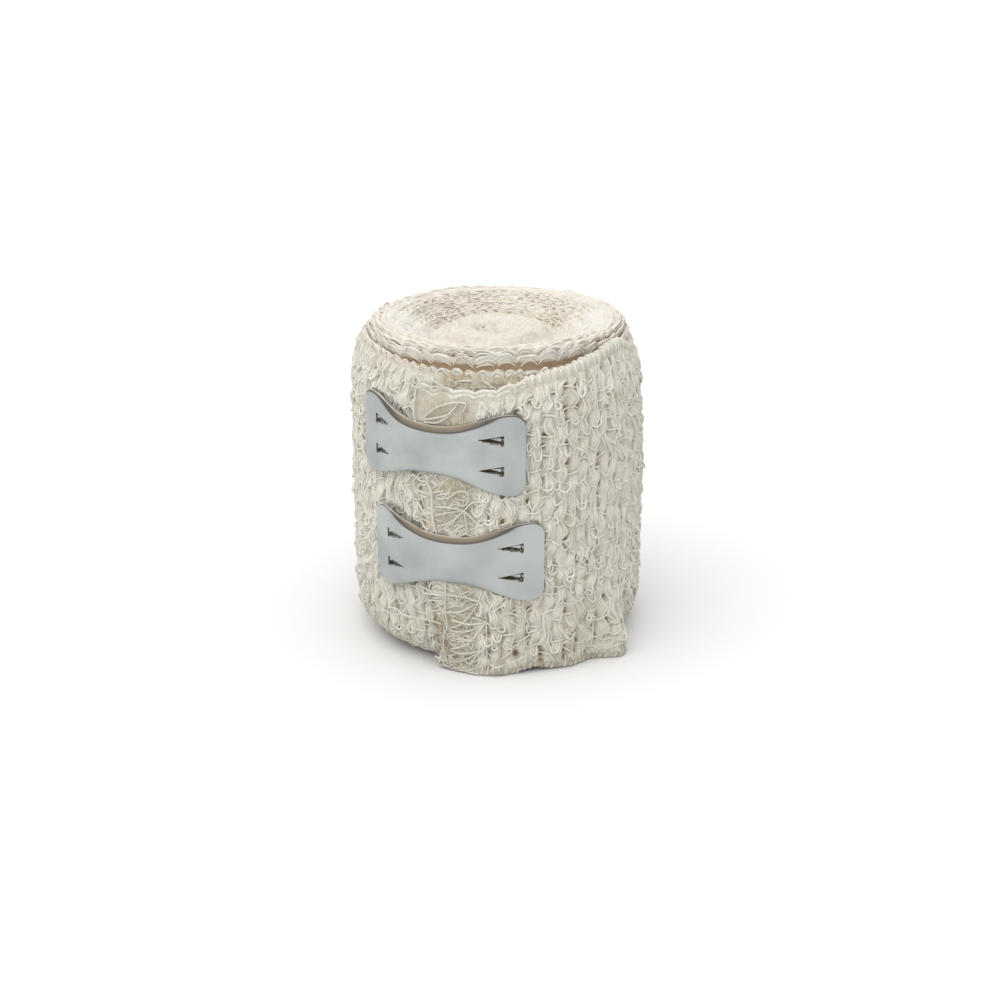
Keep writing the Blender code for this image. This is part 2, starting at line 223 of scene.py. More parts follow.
def tooth_dent(angle, height):
    """The cloth is pushed in under each bent tooth: 1 inside a rectangle round it, eased to 0."""
    dent = np.zeros(np.broadcast(angle, height).shape)
    for clip in CLIPS:
        along, up = on_clip(clip, angle, height)
        lengthwise = ease(2.0 - np.abs(np.abs(along) - DENT_PLACE) / 1.6)
        crosswise = ease(2.0 - np.abs(np.abs(up) - TOOTH_RISE) / 0.7)
        dent = np.maximum(dent, lengthwise * crosswise)
    return dent


def crinkle(angle, height):
    """Slow puckers of the crepe: a few crossing sines, at most a third of a millimetre."""
    arc = angle * ARC_RADIUS
    return (0.12 * np.sin(0.5 * arc + 0.31 * height) + 0.1 * np.sin(0.83 * height - 0.37 * arc + 1.0)
            + 0.1 * np.sin(1.3 * arc + 0.9 * np.sin(0.7 * height)))


def side_radius(angle, height):
    """Wound side of the roll: the turn's radius, out of round, a swell at mid height, the top
    leaning in from 55 mm up and the foot leaning in below 8 mm."""
    swell = 0.5 * np.maximum(1.0 - ((height - 36.0) / 36.0) ** 2, 0.0)
    shoulder = END_LEAN * ease((height - 55.0) / 8.2)
    foot = foot_lean(angle) * ease((8.0 - height) / 4.6)
    turned = np.mod(angle - STEP_ANGLE, 2.0 * np.pi) / (2.0 * np.pi)
    return turn_radius(turned) + oval(angle) + swell - shoulder - foot


def end_radius(angle, radius, lean):
    """Radius on an end of the roll: out of round in proportion, the outer turns leaning in."""
    outer = ease((radius - 24.5) / 3.2)
    return radius + oval(angle) * radius / ROLL_RADIUS - lean * outer


def upper_height(radius, angle):
    """Height of the upper end, with each turn a little uneven round the roll."""
    uneven = 0.14 * np.sin(5.0 * angle + 1.9 * radius) + 0.1 * np.sin(11.0 * angle - 2.3 * radius)
    fade = np.clip(radius / 6.0, 0.0, 1.0)
    return (eased_table(radius, UPPER_END) + RIM_TILT * np.cos(angle) * radius / ROLL_RADIUS
            + uneven * fade)


def slip(angle):
    """How far the outermost turn has slipped down, at the front, where the loose end pulls on it."""
    return 1.7 * ease(2.0 * np.cos(angle) - 0.9)


def lower_height(radius):
    """Height of the lower end."""
    return eased_table(radius, LOWER_END)


def at(angle, radius, height):
    """Points in space: (radius sin angle, -radius cos angle, height) from the roll's axis."""
    angle, radius, height = np.broadcast_arrays(angle, radius, height)
    return np.stack((AXIS[0] + radius * np.sin(angle), AXIS[1] - radius * np.cos(angle), height), -1)


def loop_number(turns_in):
    """Number of selvedge loops up to here along the spiral, from its length and their pitch."""
    turn = np.linspace(0.0, len(TURN_RADII), 6000)
    step = 2.0 * np.pi * turn_radius(turn + 0.5) * (turn[1] - turn[0])
    number = np.cumsum(step / np.interp(turn, EDGE_TURNS[0], EDGE_TURNS[1]))
    return np.interp(turns_in, turn, number)


LOOP_TABLE = np.random.default_rng(7).uniform(-1.0, 1.0, (2, 1800))      # places, then heights


def parted(angle, radius):
    """Where the turns have come apart: 1 on the back of the dished wall, nearly 1 in the dimple."""
    wall = ease(-1.7 * np.cos(angle) - 0.1) * ease((radius - 12.0) / 1.4) * ease((24.0 - radius) / 4.0)
    return np.maximum(wall, 0.9 * ease((5.2 - radius) / 2.0))


def upright(angle):
    """How far the loops stand up round the roll: fully at the front, little at the back."""
    return 0.3 + 0.7 * ease(1.2 * np.cos(angle) + 0.7)


def edge_loops(turns_in, across):
    """Selvedge of a turn, a share of the way inwards through it. Its groove is the square of a
    raised cosine across it. Along it the weft comes up in loops, each the root of a sine and none
    quite like the last; where the turns are parted, a slot is open under most loops. Returns
    (rise, how far the loop leans outwards)."""
    angle = STEP_ANGLE + 2.0 * np.pi * turns_in
    number = loop_number(turns_in)
    number = number + 0.3 * value_noise(LOOP_TABLE, 0, number)
    sink = 0.5 + 0.5 * np.cos(2.0 * np.pi * across)
    loop = np.abs(np.sin(np.pi * number)) ** 0.7 * (1.0 + 0.3 * value_noise(LOOP_TABLE, 1, number + 0.5))
    slot = np.sin(np.pi * number) ** 2 * ease(0.9 + 0.7 * value_noise(LOOP_TABLE, 1, number))
    slot = slot * parted(angle, turn_radius(turns_in + across))
    groove = np.interp(turns_in, EDGE_TURNS[0], EDGE_TURNS[2])
    height = np.interp(turns_in, EDGE_TURNS[0], EDGE_TURNS[3]) * upright(angle)
    rise = (1.0 - sink ** 2) * height * (loop - 0.7) - sink ** 2 * groove - sink * slot
    free = np.interp(turns_in, [0.0, 1.0, 3.0, 5.0], [0.3, 0.6, 0.4, 0.05])
    lean = np.sin(np.pi * across) * loop * free
    return rise, lean


def upper_edge(turns_in, across, lift=0.0):
    """Points on the upper end, from the place along the spiral and the share through its turn."""
    angle = STEP_ANGLE + 2.0 * np.pi * turns_in
    radius = turn_radius(turns_in + across)
    rise, lean = edge_loops(turns_in, across)
    slipped = slip(angle) * ease((1.05 - np.floor(turns_in) - across) / 0.2)
    return at(angle, end_radius(angle, radius, END_LEAN) + lean + 0.4 * lift,
              upper_height(radius, angle) + rise - slipped + 0.9 * lift)


def grid_faces(columns, rows, closed=False):
    """Quads of a grid of points numbered row by row; closed joins the last column to the first."""
    column = np.arange(columns if closed else columns - 1)
    row = np.arange(rows - 1)
    a = (row[:, None] * columns + column[None, :]).ravel()
    b = (row[:, None] * columns + (column[None, :] + 1) % columns).ravel()
    return np.stack((a, b, b + columns, a + columns), -1)


def grid_part(points, uv, shade):
    """A grid of points (row, column, xyz) as one part of a mesh: its points, quads, UV and tints."""
    rows, columns = points.shape[:2]
    uv = np.stack([np.broadcast_to(one, (rows, columns)) for one in uv], -1)
    return (points.reshape(-1, 3), grid_faces(columns, rows), uv.reshape(-1, 2),
            np.broadcast_to(shade, (rows, columns)).ravel())


def put_mesh(name, parts, slots=(0,)):
    """A smooth mesh object of parts (points in mm, quads, UV, tint for each point), with the number
    of each part's material slot."""
    starts = np.cumsum([0] + [len(part[0]) for part in parts])
    faces = np.concatenate([part[1] + start for part, start in zip(parts, starts)])
    points, uv, shade = (np.concatenate([part[k] for part in parts]) for k in (0, 2, 3))
    mesh = bpy.data.meshes.new(name)
    mesh.vertices.add(len(points))
    mesh.vertices.foreach_set("co", points.ravel() * MM)
    mesh.loops.add(faces.size)
    mesh.loops.foreach_set("vertex_index", faces.ravel())
    mesh.polygons.add(len(faces))
    mesh.polygons.foreach_set("loop_start", np.arange(0, faces.size, 4))
    if len(slots) > 1:
        slot = np.repeat(slots, [len(part[1]) for part in parts])
        mesh.polygons.foreach_set("material_index", slot)
    mesh.uv_layers.new(name="thread").data.foreach_set("uv", uv[faces.ravel()].ravel())
    mesh.attributes.new("shade", "FLOAT", "POINT").data.foreach_set("value", shade)
    mesh.update(calc_edges=True)
    mesh.shade_smooth()
    return add_object(name, mesh)


def weld_and_close(obj):
    """Welds doubled points, where a surface meets itself, and fills what is left open."""
    bm = bmesh.new()
    bm.from_mesh(obj.data)
    bmesh.ops.remove_doubles(bm, verts=bm.verts, dist=0.0005 * MM)
    bmesh.ops.holes_fill(bm, edges=[edge for edge in bm.edges if edge.is_boundary], sides=0)
    bm.to_mesh(obj.data)
    bm.free()


def cotton(name, lit, deep, dark, add_relief):
    """Unbleached carded cotton: matt and a little fuzzy, so it has a soft sheen and no gloss. Its
    tint drifts over 7 mm, is flecked every 0.8 mm and darkens towards the foot: a painted shade.
    add_relief adds the nodes of the yarns' relief and returns its height, its depth in millimetres
    and the amount by which it tints the cotton, lighter on the yarns and darker between them: a
    painted shade."""
    material, tree, shader = new_material(name)
    place = add_node(tree, "TexCoord").outputs["Object"]
    thread = add_node(tree, "UVMap", {"uv_map": "thread"}).outputs["UV"]
    relief, depth_mm, relief_shade = add_relief(tree, thread)
    drift = add_node(tree, "TexNoise", Vector=place, Scale=1.0 / (7.0 * MM), Detail=2.0)
    fleck = add_node(tree, "TexNoise", Vector=place, Scale=1.0 / (0.8 * MM), Detail=2.0)
    tint = add_node(tree, "Attribute", {"attribute_name": "shade"}).outputs["Fac"]
    height = add_node(tree, "SeparateXYZ", Vector=place).outputs["Z"]
    # Painted shade: the tint is lowered by up to 0.16 towards the foot, over the lowest 20 mm.
    foot_shade = add_node(tree, "MapRange", i0=height, i1=0.0, i2=20.0 * MM, i3=-0.16, i4=0.0).outputs[0]
    tint = add_node(tree, "Math", {"operation": "ADD"}, i0=tint, i1=foot_shade).outputs[0]
    # The relief tints the cotton lighter on its yarns and darker in its hollows: a painted shade.
    for socket, weight in ((drift.outputs["Fac"], 0.4), (fleck.outputs["Fac"], 0.3), (relief, relief_shade)):
        tint = add_node(tree, "Math", {"operation": "MULTIPLY_ADD"},
                        i0=socket, i1=weight, i2=tint).outputs[0]
    ramp = add_node(tree, "ValToRGB", i0=tint)
    ramp.color_ramp.elements[0].position = 0.0
    ramp.color_ramp.elements[0].color = linear(dark)
    ramp.color_ramp.elements[1].position = 0.72
    ramp.color_ramp.elements[1].color = linear(lit)
    ramp.color_ramp.elements.new(0.2).color = linear(deep)
    tree.links.new(ramp.outputs["Color"], shader.inputs["Base Color"])
    fuzz = add_node(tree, "TexNoise", Vector=place, Scale=1.0 / (0.3 * MM), Detail=2.0)
    mixed = add_node(tree, "Math", {"operation": "MULTIPLY_ADD"}, i0=fuzz.outputs["Fac"],
                     i1=0.03 / depth_mm, i2=relief)
    bump = add_node(tree, "Bump", Strength=1.0, Distance=depth_mm * MM, Height=mixed.outputs[0])
    tree.links.new(bump.outputs["Normal"], shader.inputs["Normal"])
    shader.inputs["Roughness"].default_value = 0.92
    shader.inputs["Specular IOR Level"].default_value = 0.2
    shader.inputs["Sheen Weight"].default_value = 0.2
    shader.inputs["Sheen Roughness"].default_value = 0.5
    return material


def matted_yarns(tree, thread):
    """Yarns that lie too close to stand out: noise drawn out to 2.4 mm along the weft and 0.45 mm
    across it, its lanes bent by a slower noise."""
    bend = add_node(tree, "TexNoise", Vector=thread, Scale=0.35, Detail=1.0)
    bent = add_node(tree, "VectorMath", {"operation": "MULTIPLY_ADD"}, i0=bend.outputs["Color"],
                    i1=(2.2, 1.0, 0.0), i2=thread)
    lanes = add_node(tree, "Mapping", Vector=bent.outputs[0], Scale=(1.0 / 0.45, 1.0 / 2.4, 1.0))
    yarns = add_node(tree, "TexNoise", Vector=lanes.outputs[0], Scale=1.0, Detail=1.0)
    crisp = add_node(tree, "MapRange", i0=yarns.outputs["Fac"], i1=0.3, i2=0.7)
    return crisp.outputs[0], 0.14, 0.15


def felted_yarns(tree, thread):
    """Yarns of the turns' edges, crowded and teased into a fluff: noise of 0.9 mm, and over it
    strands, noise on (fortieths of a turn, turns in), some 3.6 mm long and 0.6 mm wide."""
    place = add_node(tree, "TexCoord").outputs["Object"]
    fluff = add_node(tree, "TexNoise", Vector=place, Scale=1.0 / (0.9 * MM), Detail=3.0)
    lanes = add_node(tree, "Mapping", Vector=thread, Scale=(1.2, 2.2, 1.0))
    yarns = add_node(tree, "TexNoise", Vector=lanes.outputs[0], Scale=1.0, Detail=1.0)
    mixed = add_node(tree, "Math", {"operation": "MULTIPLY_ADD"}, i0=yarns.outputs["Fac"], i1=0.5,
                     i2=fluff.outputs["Fac"])
    return mixed.outputs[0], 0.16, 0.16


def two_plies(tree, thread):
    """Two plies round a yarn: diagonal stripes on (share round it, millimetres along it), two to
    the whole round and one to each half millimetre."""
    plies = add_node(tree, "TexWave", {"wave_type": "BANDS", "bands_direction": "DIAGONAL"},
                     Vector=thread, Scale=0.628 / 0.5, Distortion=1.5, Detail=1.0)
    return plies.outputs["Fac"], 0.03, 0.06


COLUMNS = 240                          # of the core's mesh
EDGE_COLUMNS = 600                     # of the upper end's mesh, and its rows to a turn
EDGE_ROWS = 5


def roll_body():
    """The core of the roll, from the middle of the flat foot out over the turns' lower edges, up the
    side and in over the top, some way under the edges that the next part adds."""
    angle = np.linspace(0.0, 2.0 * np.pi, COLUMNS + 1)[None, :]
    steps = np.arange(4.0, -0.01, -0.25)[:, None]
    radius = turn_radius(steps + 0.5)
    sink = (0.5 + 0.5 * np.cos(2.0 * np.pi * steps)) ** 2
    foot = at(angle, end_radius(angle, radius, foot_lean(angle)), lower_height(radius) + 0.6 * sink)
    flat = at(angle, np.array([0.0, 4.0, 14.0, 22.0])[:, None], 0.0)
    height = np.linspace(5.5, 60.0, 20)[:, None]
    wall = at(angle, side_radius(angle, height) - 0.5, height)
    inwards = np.linspace(26.0, 0.0, 40)[:, None]
    top = at(angle, end_radius(angle, inwards, END_LEAN), upper_height(inwards, angle) - 2.4)
    points = np.concatenate((flat, foot, wall, top))
    run = np.arange(len(points))[:, None] * 0.7
    return grid_part(points, (angle * ARC_RADIUS, run), 0.0)


def roll_upper_end():
    """The turns' edges on the upper end as one spiral surface over (turn round the roll, place
    inwards), which starts below the shoulder and closes on the axis. The grooves, the dish and the
    outer faces of the outer turns are tinted darker: a painted shade."""
    share = np.linspace(0.0, 1.0, EDGE_COLUMNS + 1)[None, :]
    inwards = np.arange(TURNS * EDGE_ROWS)[:, None] / EDGE_ROWS
    turn = np.floor(inwards + 1e-6)
    points = upper_edge(turn + share, inwards - turn)
    under = points[:1] - np.array([0.0, 0.0, 2.2])
    middle = np.broadcast_to(at(0.0, 0.0, 62.6), points[:1].shape)
    points = np.concatenate((under, points, middle))
    # Painted shade: the tint follows the rise, lighter on the loops and darker in the grooves and slots,
    # and is darker on the outer faces of the outer turns and in the dish.
    outer = ease((0.3 - (inwards - turn)) / 0.3) * ease((3.5 - turn - share) / 0.6)
    dish = ease((20.0 - turn_radius(inwards + share)) / 8.0)
    rise = edge_loops(turn + share, inwards - turn)[0]
    shade = 0.1 + 0.6 * np.maximum(rise, -1.0) - 0.26 * outer - 0.2 * dish
    shade = np.concatenate((shade[:1], shade, shade[-1:]))
    row = (np.arange(len(points))[:, None] - 1.0) / EDGE_ROWS
    return grid_part(points, (40.0 * share, row), shade)


ground_cotton = cotton("cotton_crepe_ground", "#D0CEC4", "#B0A997", "#8C775A", matted_yarns)
edge_ground = cotton("cotton_crepe_edges", "#D3D1CC", "#BDB6A8", "#8F7C62", felted_yarns)
roll = put_mesh("roll_cloth", [roll_body(), roll_upper_end()], slots=(0, 1))
weld_and_close(roll)
roll.data.materials.append(ground_cotton)
roll.data.materials.append(edge_ground)
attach(roll, "root")
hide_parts("bandage_roll")

# ------------------------------------------------------------------ woven face of the roll
# Bundles of soft weft run up the cloth; the crepe warp crosses every other bundle and presses it in,
# so that each bundle spreads and swells in between, and slack weft pops out in hanging loops.
side_cotton = cotton("cotton_yarn", "#DEDDD5", "#C2BEB0", "#8C7C61", two_plies)
ROWS = 28                              # of warp across the cloth
PITCH = 2.5                            # from one bundle of weft to the next
PIT_DEPTH = 0.7
WEFT_YARN, WARP_YARN, LOOP_YARN, STRAY_YARN = 0.7, 0.5, 0.56, 0.44
SIDES = 4                              # of a yarn's mesh, and the points along one of weft
WEFT_POINTS = 104
WEAVE_STOP = np.radians(-24.0)         # from here on the loose end covers the roll


def radial(angle):
    """Outward normals of the wound side."""
    return np.stack(np.broadcast_arrays(np.sin(angle), -np.cos(angle), 0.0 * angle), -1)


def no_shift(angle, share):
    """For cloth that isn't askew."""
    return 0.0 * angle


def warp_row(arc, share):
    """Number of warp rows up to this share of the width, drawn up and down by slow waves."""
    return ROWS * share + 0.3 * np.sin(0.31 * arc + 1.3) + 0.22 * np.sin(0.83 * arc + 13.0 * share)


class Weave:
    """The crepe on one face of the cloth, between two angles and two heights that follow the angle.
    Its smooth face is base(angle, height); shift(angle, share of the width) sets it askew."""

    def __init__(self, base, start, stop, low, high, shift, seed):
        self.base, self.start, self.stop = base, start, stop
        self.low, self.high, self.shift = low, high, shift
        self.bundles = int((stop - start) * ARC_RADIUS / PITCH)
        self.width = (stop - start) / self.bundles
        self.rng = np.random.default_rng(seed)
        self.jogs = self.rng.uniform(-1.0, 1.0, (self.bundles, ROWS + 6))

    def place(self, middle, share):
        """Angle and height of a place given along the cloth and across it."""
        low = self.low(middle)
        return middle + self.shift(middle, share), low + (self.high(middle) - low) * share

    def bundle(self, number, share):
        """Row number of a bundle at this share of the width, and how loose it lies there: 0 where the
        warp passes over it, 1 in between."""
        arc = (self.start + (number + 0.5) * self.width) * ARC_RADIUS
        row = np.maximum(warp_row(arc, share) + number % 2 + 1.0, 0.0)
        return row, 0.5 - 0.5 * np.cos(np.pi * (row - 1.0))

    def jog(self, number, row):
        """Millimetres that a bundle has moved sideways at this row."""
        return 0.75 * value_noise(self.jogs, number, row)

    def relief(self, angle, height):
        """How far the bundles swell out of the smooth face, and how far it is sunk into pits. Each
        bundle is half an ellipse round its jogging line, wider and higher where it lies loose; where
        two meet, the higher one counts. A pit is an oval where a bundle and the next have jogged
        apart."""
        span = self.high(angle) - self.low(angle)
        share = (height - self.low(angle)) / span
        middle = angle - self.shift(angle, share)
        place = (middle - self.start) / self.width - 0.5
        swell = np.zeros(np.broadcast(angle, height).shape)
        pit = np.zeros(swell.shape)
        for step in (-1, 0, 1):
            number = np.clip(np.rint(place).astype(int) + step, 0, self.bundles - 1)
            row, loose = self.bundle(number, share)
            aside = (place - number) * self.width * ARC_RADIUS - self.jog(number, row)
            half = 0.95 + 0.35 * loose
            round_off = np.sqrt(np.maximum(1.0 - (aside / half) ** 2, 0.0))
            swell = np.maximum(swell, (0.3 + 0.4 * loose) * round_off)
            nearest = np.rint(row).astype(int)
            after = np.minimum(number + 1, self.bundles - 1)
            apart = self.jogs[after, nearest] - self.jogs[number, nearest]
            away = np.hypot((aside - 0.5 * PITCH - 0.4 * apart) / 0.45, (row - nearest) * 2.1 / 0.7)
            pit = np.maximum(pit, np.clip(1.3 * apart - 0.2, 0.0, 1.0) * ease(1.5 - away))
        ends = ease(np.minimum(share, 1.0 - share) * span / 1.2 + 0.2)
        ends = ends * ease((middle - self.start) / 0.03 + 0.5) * ease((self.stop - middle) / 0.03 + 0.5)
        return np.minimum(swell * ends, clip_room(angle, height)), pit * ends

    def on_face(self, angle, height, lift):
        """Points at this lift off the woven face, held down under the clips."""
        swell, _ = self.relief(angle, height)
        lift = np.minimum(swell + lift, clip_room(angle, height) - tooth_dent(angle, height))
        return at(angle, self.base(angle, height) + lift, height)

    def weft(self):
        """Two soft yarns side by side on each bundle, and a third that swings half way to the next
        one and back. Each sinks into the bundle here and there, and kinks on its own."""
        number = np.repeat(np.arange(self.bundles), 3)[:, None]
        own = np.tile([-1.0, 1.0, 0.0], self.bundles)[:, None]
        swings = np.tile([0.0, 0.0, 1.0], self.bundles)[:, None]
        share = np.linspace(0.0, 1.0, WEFT_POINTS)[None, :]
        row, loose = self.bundle(number, share)
        kinks, slack = self.rng.uniform(-1.0, 1.0, (2, 3 * self.bundles, 2 * ROWS))
        path = np.arange(len(number))[:, None]
        sideways = (self.jog(number, row) + own * (0.4 + 0.2 * loose)
                    + 0.42 * value_noise(kinks, path, 1.6 * row + 0.5)
                    + swings * 0.6 * PITCH * value_noise(np.abs(self.jogs), number, 0.9 * row))
        middle = self.start + (number + 0.5) * self.width
        angle, height = self.place(middle, share)
        lift = -0.14 + 0.26 * value_noise(slack, path, 0.9 * row) + 0.04 * swings
        points = self.on_face(angle + sideways / ARC_RADIUS, height, lift)
        return tubes(points, radial(angle), WEFT_YARN, self.rng.uniform(-0.1, 0.1, len(number)))

    def warp(self):
        """Finer yarns round the roll, one to a row, over one bundle and under the next as a cosine."""
        steps = int((self.stop - self.start) * ARC_RADIUS / 0.6)
        middle = np.linspace(self.start, self.stop, steps)[None, :]
        number = (middle - self.start) / self.width - 0.5
        row = np.arange(1, ROWS)[:, None]
        share = row / ROWS
        share = share - (warp_row(middle * ARC_RADIUS, share) - row) / ROWS
        over = 0.5 + 0.5 * np.cos(np.pi * (row + number))
        phase = self.rng.uniform(0.0, 2.0 * np.pi, (ROWS - 1, 2))
        angle, height = self.place(middle, share)
        height = height + 0.35 * np.sin(middle * ARC_RADIUS / 0.9 + phase[:, :1])
        lift = -0.4 + 0.55 * over + 0.15 * np.sin(middle * ARC_RADIUS / 1.7 + phase[:, 1:])
        points = self.on_face(angle, height, lift)
        return tubes(points, radial(angle), WARP_YARN, self.rng.uniform(-0.05, 0.15, ROWS - 1))

    def slack_loops(self, number, spread, width, depth, stand):
        """Slack weft that has popped out of the cloth: a U whose arms go as a cosine and whose depth
        as the root of a sine, hung at an angle of this spread; it stands off most at its turn. One arm
        is often buried, so that a hook is left, and some are crossed at the top like a drop."""
        draw = self.rng.uniform
        middle, share = draw(self.start, self.stop, (number, 1)), draw(0.03, 0.97, (number, 1))
        width, depth, stand = (draw(*limits, (number, 1)) for limits in (width, depth, stand))
        crossed = np.where(draw(size=(number, 1)) < 0.12, -0.4, 1.0)
        slant, arm = self.rng.normal(0.0, spread, (number, 1)), draw(-1.0, 1.0, (number, 1))
        t = np.linspace(0.0, 1.0, 10)[None, :]
        fall = np.sin(np.pi * t) ** 0.6
        across = -0.5 * width * np.cos(np.pi * t) * (crossed + (1.0 - crossed) * fall)
        down = depth * (fall - 0.4)
        angle, height = self.place(middle, share)
        height = height - down * np.cos(slant) + across * np.sin(slant)
        height = np.clip(height, self.low(middle) + 0.3, self.high(middle) - 0.3)
        angle = angle + (across * np.cos(slant) + down * np.sin(slant)) / ARC_RADIUS
        lift = -0.3 + (0.2 + stand) * np.sin(np.pi * t) ** 0.5 + 0.4 * arm * (t - 0.5)
        points = self.on_face(angle, height, lift)
        return tubes(points, radial(angle), LOOP_YARN, draw(0.0, 0.22, number))

    def loops(self, number):
        """Hanging loops and, as many again, short ends and kinks that lie in all directions."""
        return [self.slack_loops(number, 0.3, (1.3, 2.4), (1.4, 2.8), (0.3, 0.6)),
                self.slack_loops(number, 1.6, (1.2, 2.6), (0.2, 1.0), (0.1, 0.3))]


def tubes(points, normals, thickness, shade):
    """Yarns as tubes: each path (path, point, xyz) carries a ring of points, at half the thickness
    times (cos t * up + sin t * side), where side = normal x tangent. Ends are closed by quads. The
    shade is one for each path or for each of its points."""
    paths, count, _ = points.shape
    tangent = np.gradient(points, axis=1)
    side = np.cross(np.broadcast_to(normals, points.shape), tangent)
    side /= np.linalg.norm(side, axis=-1, keepdims=True) + 1e-9
    up = np.cross(tangent, side)
    up /= np.linalg.norm(up, axis=-1, keepdims=True) + 1e-9
    turn = 2.0 * np.pi * (np.arange(SIDES) + 0.5) / SIDES
    half = 0.5 * np.broadcast_to(thickness, (paths, count))[:, :, None, None]
    ring = points[:, :, None, :] + half * (np.cos(turn)[:, None] * up[:, :, None, :]
                                           + np.sin(turn)[:, None] * side[:, :, None, :])
    length = np.zeros((paths, count))
    length[:, 1:] = np.cumsum(np.linalg.norm(np.diff(points, axis=1), axis=-1), axis=1)
    uv = np.stack(np.broadcast_arrays((np.arange(SIDES) / SIDES)[None, None, :],
                                      length[:, :, None]), -1)
    first = np.array([[3, 2, 1, 0]])
    one = np.concatenate((grid_faces(SIDES, count, closed=True), first,
                          first[:, ::-1] + SIDES * (count - 1)))
    faces = (one[None, :, ::-1] + (np.arange(paths) * SIDES * count)[:, None, None]).reshape(-1, 4)
    tints = np.broadcast_to(np.reshape(shade, (paths, -1, 1)), (paths, count, SIDES))
    return ring.reshape(-1, 3), faces, uv.reshape(-1, 2), tints.reshape(-1)


def stray_ends(rng, number, base, start, stop, low, high, shift, shade):
    """Short ends of yarn lying about on a face, most of them along the warp: bent by a cosine, and
    half sunk in the cloth with their ends all the way."""
    share, way = rng.uniform(0.0, 1.0, (number, 1)), rng.normal(0.0, 0.7, (number, 1))
    middle, t = rng.uniform(start, stop, (number, 1)), np.linspace(-0.5, 0.5, 7)[None, :]
    along = t * rng.uniform(1.5, 5.0, (number, 1))
    aside = rng.uniform(-0.7, 0.7, (number, 1)) * np.cos(np.pi * t)
    angle = middle + shift(middle, share) + (along * np.cos(way) - aside * np.sin(way)) / ARC_RADIUS
    height = low(middle) + (high(middle) - low(middle)) * share
    height = height + along * np.sin(way) + aside * np.cos(way)
    height = np.clip(height, low(angle) + 0.4, high(angle) - 0.2)
    lift = np.minimum(rng.uniform(-0.12, 0.1, (number, 1)) - 0.6 * t ** 2, clip_room(angle, height))
    points = at(angle, base(angle, height) + lift, height)
    return tubes(points, radial(angle), STRAY_YARN, shade + rng.uniform(-0.15, 0.15, number))


def cloth_piece(name, parts, material):
    """An object of several parts that rides with the roll."""
    obj = put_mesh(name, parts)
    obj.data.materials.append(material)
    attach(obj, "root")
    return obj


def roll_low(angle):
    """Lower selvedge of the roll's outer turn."""
    return 3.8 + 0.0 * angle


def roll_high(angle):
    """Its upper selvedge, just under the edge's loops, lower where the turn has slipped."""
    turned = (angle - STEP_ANGLE) / (2.0 * np.pi)
    return upper_height(turn_radius(turned), angle) - 0.9 - slip(angle)


def bared_low(angle):
    """Lower edge of the strip that shows between the slipped turn and the loose end."""
    return roll_high(angle) - 5.0


def roll_base(angle, height):
    """The roll's side as seen: puckered where it is bare, dented by the clips' left teeth, and run on
    without a step where the loose end leaves it."""
    bare = ease((np.radians(-20.0) - angle) / 0.2)
    return (side_radius(np.maximum(angle, STEP_ANGLE), height) + bare * crinkle(angle, height)
            - 1.9 * tooth_dent(angle, height))


def woven_face(weave, start, stop, columns, rows):
    """The woven face as a grid over (place along the cloth, share of its width), its rims sunk. Where
    it runs on past the weave it is bare. Its tint is lighter on the swells and darker in the pits,
    under the clips' teeth and on the bared strip: a painted shade."""
    middle = np.linspace(start, stop, columns)[None, :]
    share = np.linspace(-0.02, 1.02, rows)[:, None]
    angle, height = weave.place(middle, share)
    swell, pit = weave.relief(angle, height)
    sunk = 0.7 * (1.0 - ease(np.minimum(share + 0.02, 1.02 - share) * CLOTH_WIDTH))
    points = at(angle, weave.base(angle, height) + swell - PIT_DEPTH * pit - sunk, height)
    # Painted shade: the tint is lighter on the swells, darker in the pits and under the clips' teeth,
    # and darker on the bared strip past the weave.
    bare = 0.25 * ease((angle - weave.stop) / 0.05)
    shade = -0.05 + 0.4 * swell - 0.45 * pit - bare - 0.8 * tooth_dent(angle, height)
    return grid_part(points, (angle * ARC_RADIUS, height), shade)


roll_weave = Weave(roll_base, STEP_ANGLE - 0.05, WEAVE_STOP, roll_low, roll_high, no_shift, 23)
face = woven_face(roll_weave, STEP_ANGLE - 0.03, np.radians(60.0), 300, 104)
cloth_piece("roll_face", [face], ground_cotton)
cloth_piece("roll_weft", [roll_weave.weft()], side_cotton)
# Painted shade: the ends on the bared strip are tinted darker (-0.25).
bared = stray_ends(roll_weave.rng, 100, roll_base, WEAVE_STOP, np.radians(46.0),
                   bared_low, roll_high, no_shift, -0.25)
cloth_piece("roll_warp", [roll_weave.warp(), *roll_weave.loops(190), bared], side_cotton)

# ------------------------------------------------------------------ selvedge loops of the turns
# Along each turn's edge the weft comes up in doubled yarn, arches over to the next place and goes
# down again. The outer turns stand free, so their arches are long; inside they are short and dense.
edge_cotton = cotton("cotton_yarn_of_the_selvedge", "#E0DDD7", "#CEC6B6", "#938264", two_plies)
OUTER_TURN = 174.0                     # length of an outer turn
CREST = 0.38                           # share of the way in through a turn to the last of its yarns


